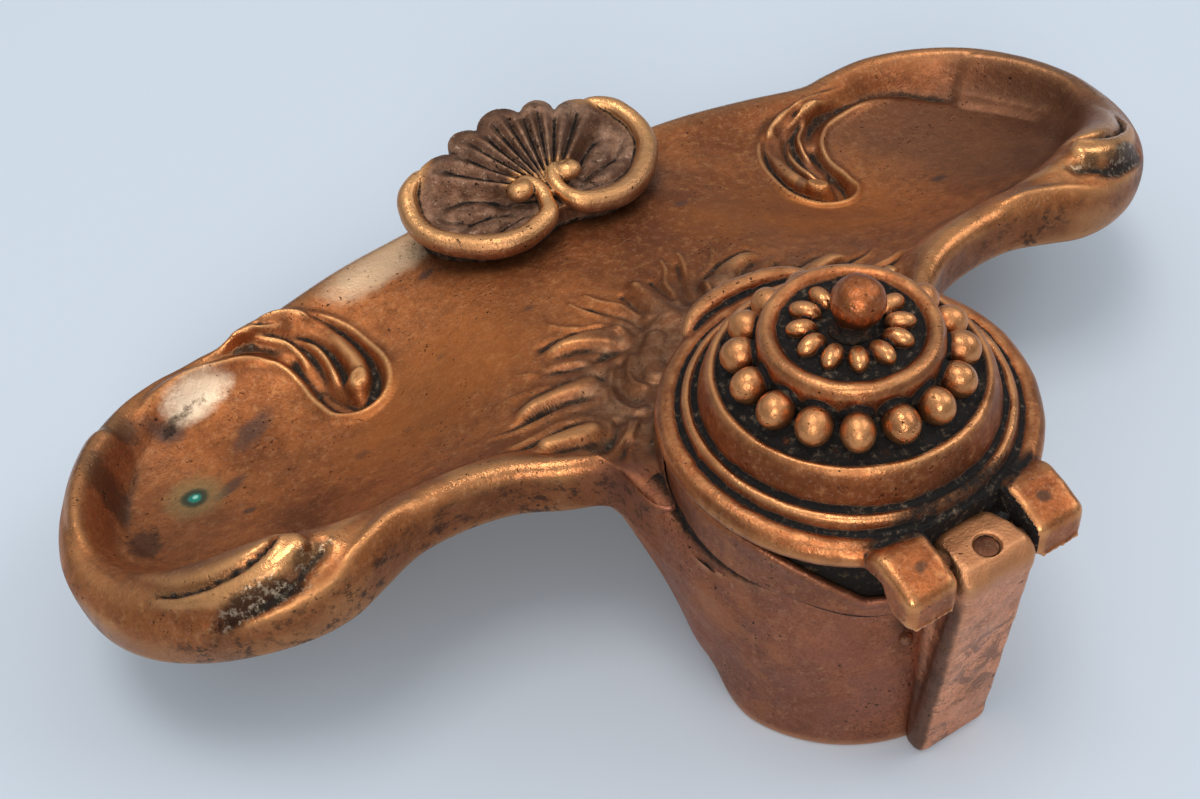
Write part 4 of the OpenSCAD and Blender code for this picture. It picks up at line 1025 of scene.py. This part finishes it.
post = soft_bar("hinge_post_casting", [(s * wide, y, z) for s in (-1, 1) for y, z, wide in post_side], 1.9, 32)
deselect()
bpy.ops.mesh.primitive_cylinder_add(vertices=64, radius=2.1 * MM, depth=1.7 * MM, location=(0, 32.2 * MM, 50.8 * MM))
bpy.ops.object.transform_apply(location=True)
core_hole = bpy.context.object
reshape(post, "BOOLEAN", object=core_hole)
bpy.data.objects.remove(core_hole)
cast_skin(post, 0.34, 4, dents=0.07)
mark_wear(post, 5, 30)


def post_grime(place, tone, noise):
    """A rubbed golden head, dark grime down the two sides and pits in streaks on the face."""
    off, height = along_axes(place, 0, 2)
    tone = (height.ramp(44.5, 48.5) * 0.75).mix(tone, (0.50, 0.215, 0.085))
    streak = noise(190, 5, 0.75, 0.8).ramp(0.50, 0.58) * noise(50, 3).ramp(0.44, 0.58) * (1 - height.ramp(43.0, 46.0))
    tone = (streak * 0.6).mix(tone, (0.13, 0.062, 0.042))
    torn = noise(260, 5, 0.75) * 1.2
    dark = (off.math("ABSOLUTE") + torn).ramp(6.55, 7.35) * (1 - (height + 3.0 * torn).ramp(44.0, 49.0))
    return (dark * 0.85).mix(tone, (0.085, 0.042, 0.028))


post.data.materials.append(copper("post copper", warm=(0.78, 0.330, 0.175), deep=(0.52, 0.215, 0.120),
                                  gold=(0.90, 0.52, 0.30), shine=0.38, grain=1.4, stains=(post_grime,)))
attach(post, "stand")
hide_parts("hinge_post")

plug = ball((0, 32.1, 50.15), (1.95, 1.95, 0.45), 0, 20)
plug.name = plug.data.name = "core_plug"
bpy.ops.object.shade_smooth()
mark_wear(plug, 2, 8)
plug.data.materials.append(copper("plug copper", warm=(0.22, 0.085, 0.042), deep=(0.10, 0.040, 0.025),
                                  gold=(0.40, 0.19, 0.10), shine=0.45, grain=1.3))
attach(plug, "stand")
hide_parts("post_plug")

# ---------------------------------------------------------------- lid
# The lid is a hollow casting: a rolled rim, grooves and a thin ring, a hollow moulding up to its
# crest, sixteen egg-shaped beads, a second ring and twelve small beads. Two ears and a thumb lip
# are one with it.
seat = 50.2
lid_profile = [(24.6, 0.0), (27.4, 0.0), (28.6, 0.35), (29.6, 1.2), (30.0, 2.3), (29.7, 3.3), (28.9, 4.2),
               (27.8, 4.6), (26.9, 4.5), (26.3, 3.9), (25.95, 4.2), (25.75, 5.2), (25.4, 6.0), (24.7, 6.3),
               (24.1, 5.9), (23.7, 5.4), (23.3, 5.8), (23.1, 7.0), (22.7, 8.4), (22.3, 9.8), (21.8, 10.9),
               (21.1, 11.5), (20.4, 11.3), (19.9, 10.8), (19.4, 10.7), (14.7, 12.2), (14.1, 13.4), (14.15, 16.6),
               (14.1, 18.1), (13.5, 19.35), (12.6, 19.8), (11.6, 19.5), (10.9, 18.8), (10.4, 18.5), (0.0, 19.0),
               (0.0, 15.4), (10.9, 14.8), (12.0, 9.0), (19.4, 7.4), (21.9, 5.2), (24.6, 2.0)]


def spun(name, profile, steps=160):
    """A turned shape: a closed profile of (radius, height) spun round the upright."""
    line = new_piece(name, [(r, 0, z) for r, z in profile], [])
    mesh = bmesh.new()
    mesh.from_mesh(line.data)
    mesh.verts.ensure_lookup_table()
    for i in range(len(profile)):
        if not (profile[i][0] == 0 and profile[(i + 1) % len(profile)][0] == 0):
            mesh.edges.new((mesh.verts[i], mesh.verts[(i + 1) % len(profile)]))
    mesh.to_mesh(line.data)
    mesh.free()
    in_edit(lambda: bpy.ops.mesh.spin(steps=steps, angle=2 * math.pi, center=(0, 0, 0), axis=(0, 0, 1)),
            lambda: bpy.ops.mesh.select_all(action="SELECT"), close_up)
    return line


lid_parts = [spun("lid body", [(r, seat + z) for r, z in lid_profile])]
lid_now = points_of(lid_parts[0])
lid_reach = polar(lid_now)[0]
lid_now[:, 2] -= 1.7 * smooth(lid_now[:, 1] / 26) * smooth((lid_reach - 19) / 9)
far_side = smooth(-(lid_now[:, 0] * 0.64 + lid_now[:, 1] * 0.77) / 13)
lid_now[:, 2] += 0.8 * far_side * smooth((15 - lid_reach) / 0.8) * (lid_reach > 9) * (lid_now[:, 2] > seat + 14)
set_points(lid_parts[0], lid_now)
bead_ring, small_ring = 16.4, 7.3     # how far from the middle the two rings of beads sit
for i in range(16):
    a = math.radians(10.8 + 22.5 * i)
    own = math.sin(i * 2.4) * 0.1
    lower = 0.7 * smooth(-math.cos(a - 0.87))
    lid_parts.append(ball((bead_ring * math.cos(a), bead_ring * math.sin(a), seat + 14.1 - lower + own),
                          (3.15, 2.75 + own, 3.0), a + 0.5 * own))
for i in range(12):
    a = math.radians(30 * i)
    own = math.cos(i * 1.9) * 0.08
    lid_parts.append(ball((small_ring * math.cos(a), small_ring * math.sin(a), seat + 19.7),
                          (2.55 + own, 1.6 + 0.5 * own, 1.7 + own), a + own, 16))
ear_side = [(22.4, 48.6), (22.4, 51.6), (27.2, 54.1), (31.0, 53.0), (35.35, 51.0), (35.35, 44.9), (30.4, 44.9),
            (28.0, 49.2)]
for hand in (1, -1):
    ear_ends = sorted((hand * 7.25, hand * 16.4))
    lid_parts.append(soft_bar("ear", [(x, y, z) for x in ear_ends for y, z in ear_side], 2.3, 12))
    flash = [(hand * (8.4 + k * 0.335), 35.0 + 0.2 * math.sin(k * 1.7), 45.5 + 0.15 * math.cos(k * 2.3))
             for k in range(22)]
    lid_parts.append(tube("flash", flash, [0.3] + [0.5] * 20 + [0.3], 8))
lip_path = []
for s in np.linspace(-1, 1, 40):
    a = math.radians(-92 + 26 * s)
    out = 31.3 - 2.6 * s ** 4
    lip_path.append((out * math.cos(a), out * math.sin(a), seat + 3.4 + 0.5 * (1 - s * s), 1.9 - 1.1 * s ** 4))
lip_path = np.array(lip_path)
lid_parts.append(tube("thumb lip", lip_path[:, :3], lip_path[:, 3]))
lid = join_into("lid_casting", lid_parts)
cast_skin(lid, 0.395, 2, dents=0.05)
deselect()
bpy.ops.mesh.primitive_cube_add(size=MM)
gap_block = bpy.context.object
gap_block.data.transform(Matrix.Translation(Vector((0, 31.4, 53)) * MM) @ Matrix.Diagonal((14.4, 10, 8.6, 1)))
reshape(lid, "BOOLEAN", object=gap_block)
bpy.data.objects.remove(gap_block)
mark_wear(lid, 5, 26, (0.12, 0.8))
lid_now = points_of(lid)
lid_reach = polar(lid_now)[0]
lid_x, lid_y, lid_z = np.abs(lid_now[:, 0]), lid_now[:, 1], lid_now[:, 2]
trough = (0.55 * smooth(seat + 12.4 - lid_z) * smooth((lid_reach - 13.6) / 0.5)
          * smooth((21.0 - lid_reach) / 0.9) * (lid_z > seat + 8))
dish = 0.62 * smooth((seat + 19.5 - lid_z) / 0.6) * (lid_reach < 10.9) * (lid_z > seat + 17)
by_hinge = (0.50 * smooth((lid_y - 21.5) / 3) * smooth((18.5 - lid_x) / 3) * smooth((29.2 - lid_reach) / 0.8)
            * (lid_z > 51))
# Painted shade: the lid's faces beside the hinge post, in the gap round it, are painted black.
painted_shade_behind_post = 1.6 * (lid_x < 7.6) * (lid_y > 25.8)
add_dirt_and_shade(lid, trough + dish + by_hinge + painted_shade_behind_post, 2)


def ear_spot(place, tone, noise):
    """A dark worn-in spot on top of each ear."""
    return patch(place, tone, (11.5, 31.2, 1.7, 1.2, 0.3), 1.3 * noise(420, 4, 0.7), (0.7, 1.5),
                 (0.070, 0.036, 0.024), 0.85, True)


lid.data.materials.append(copper("lid copper", warm=(0.44, 0.132, 0.042), deep=(0.20, 0.058, 0.021),
                                 gold=(0.76, 0.345, 0.135), dirt=1.3, shine=0.31, stains=(ear_spot,),
                                 ash_and_shade_tones=((0.010, 0.008, 0.007), (0.16, 0.11, 0.07))))
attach(lid, "lid")
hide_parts("lid")

# ---------------------------------------------------------------- finial
# A turned ball on a short neck, knocked a little to one side. Its shank is peened over inside
# the lid.
finial = spun("finial shank", [(0, 64.0), (2.6, 64.0), (2.6, 65.1), (1.5, 65.1), (1.5, 68.2), (3.3, 68.4),
                               (3.5, 69.3), (2.6, 70.1), (2.25, 71.0), (2.6, 71.9), (0, 72.6)], 96)
knob = ball((-0.9, 0.3, 74.35), (4.15, 4.15, 4.1), 0, 28)
finial = join_into("finial_turning", [finial, knob])
cast_skin(finial, 0.22, 3, dents=0.10, dent_size=4.5)
mark_wear(finial, 4, 16)
# Painted shade: the finial's neck under the ball is made darker.
painted_neck_shade = smooth((71.8 - points_of(finial)[:, 2]) / 1.2)
add_dirt_and_shade(finial, 0.9 * painted_neck_shade)
finial.data.materials.append(copper("ball copper", warm=(0.46, 0.138, 0.044), deep=(0.24, 0.068, 0.024),
                                    gold=(0.76, 0.345, 0.135), shine=0.26))
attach(finial, "lid")
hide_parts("finial")

# ---------------------------------------------------------------- plain parts
# The glass liner, the hinge pin and the two front feet keep the shapes of the solids. They get
# their materials here.
glass, tree, place = new_tree("liner glass")
ripple = add_node(tree, "ShaderNodeTexNoise", {}, {"Vector": place, "Scale": 90.0, "Detail": 2.0})
film = add_node(tree, "ShaderNodeTexNoise", {}, {"Vector": place, "Scale": 260.0, "Detail": 4.0})
waves = add_node(tree, "ShaderNodeBump", {}, {"Strength": 0.3, "Distance": 0.0003, "Height": ripple})
add_surface(tree, {"Base Color": film.ramp(0.4, 0.7).mix((0.80, 0.88, 0.85), (0.62, 0.70, 0.70)),
                   "Roughness": film.ramp(0.45, 0.75) * 0.2 + 0.03, "IOR": 1.5, "Transmission Weight": 0.9,
                   "Normal": waves})
pin_copper = copper("pin copper", warm=(0.16, 0.070, 0.042), deep=(0.060, 0.030, 0.021), gold=(0.30, 0.15, 0.085),
                    shine=0.5, attributes=False)
foot_copper = copper("foot copper", warm=(0.40, 0.150, 0.065), deep=(0.19, 0.066, 0.032), gold=(0.62, 0.31, 0.14),
                     attributes=False)
for name, material in (("ink_liner", glass), ("hinge_pin", pin_copper), ("front_foot_left", foot_copper),
                       ("front_foot_right", foot_copper)):
    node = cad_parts[name]
    node.data.materials.clear()
    node.data.materials.append(material)
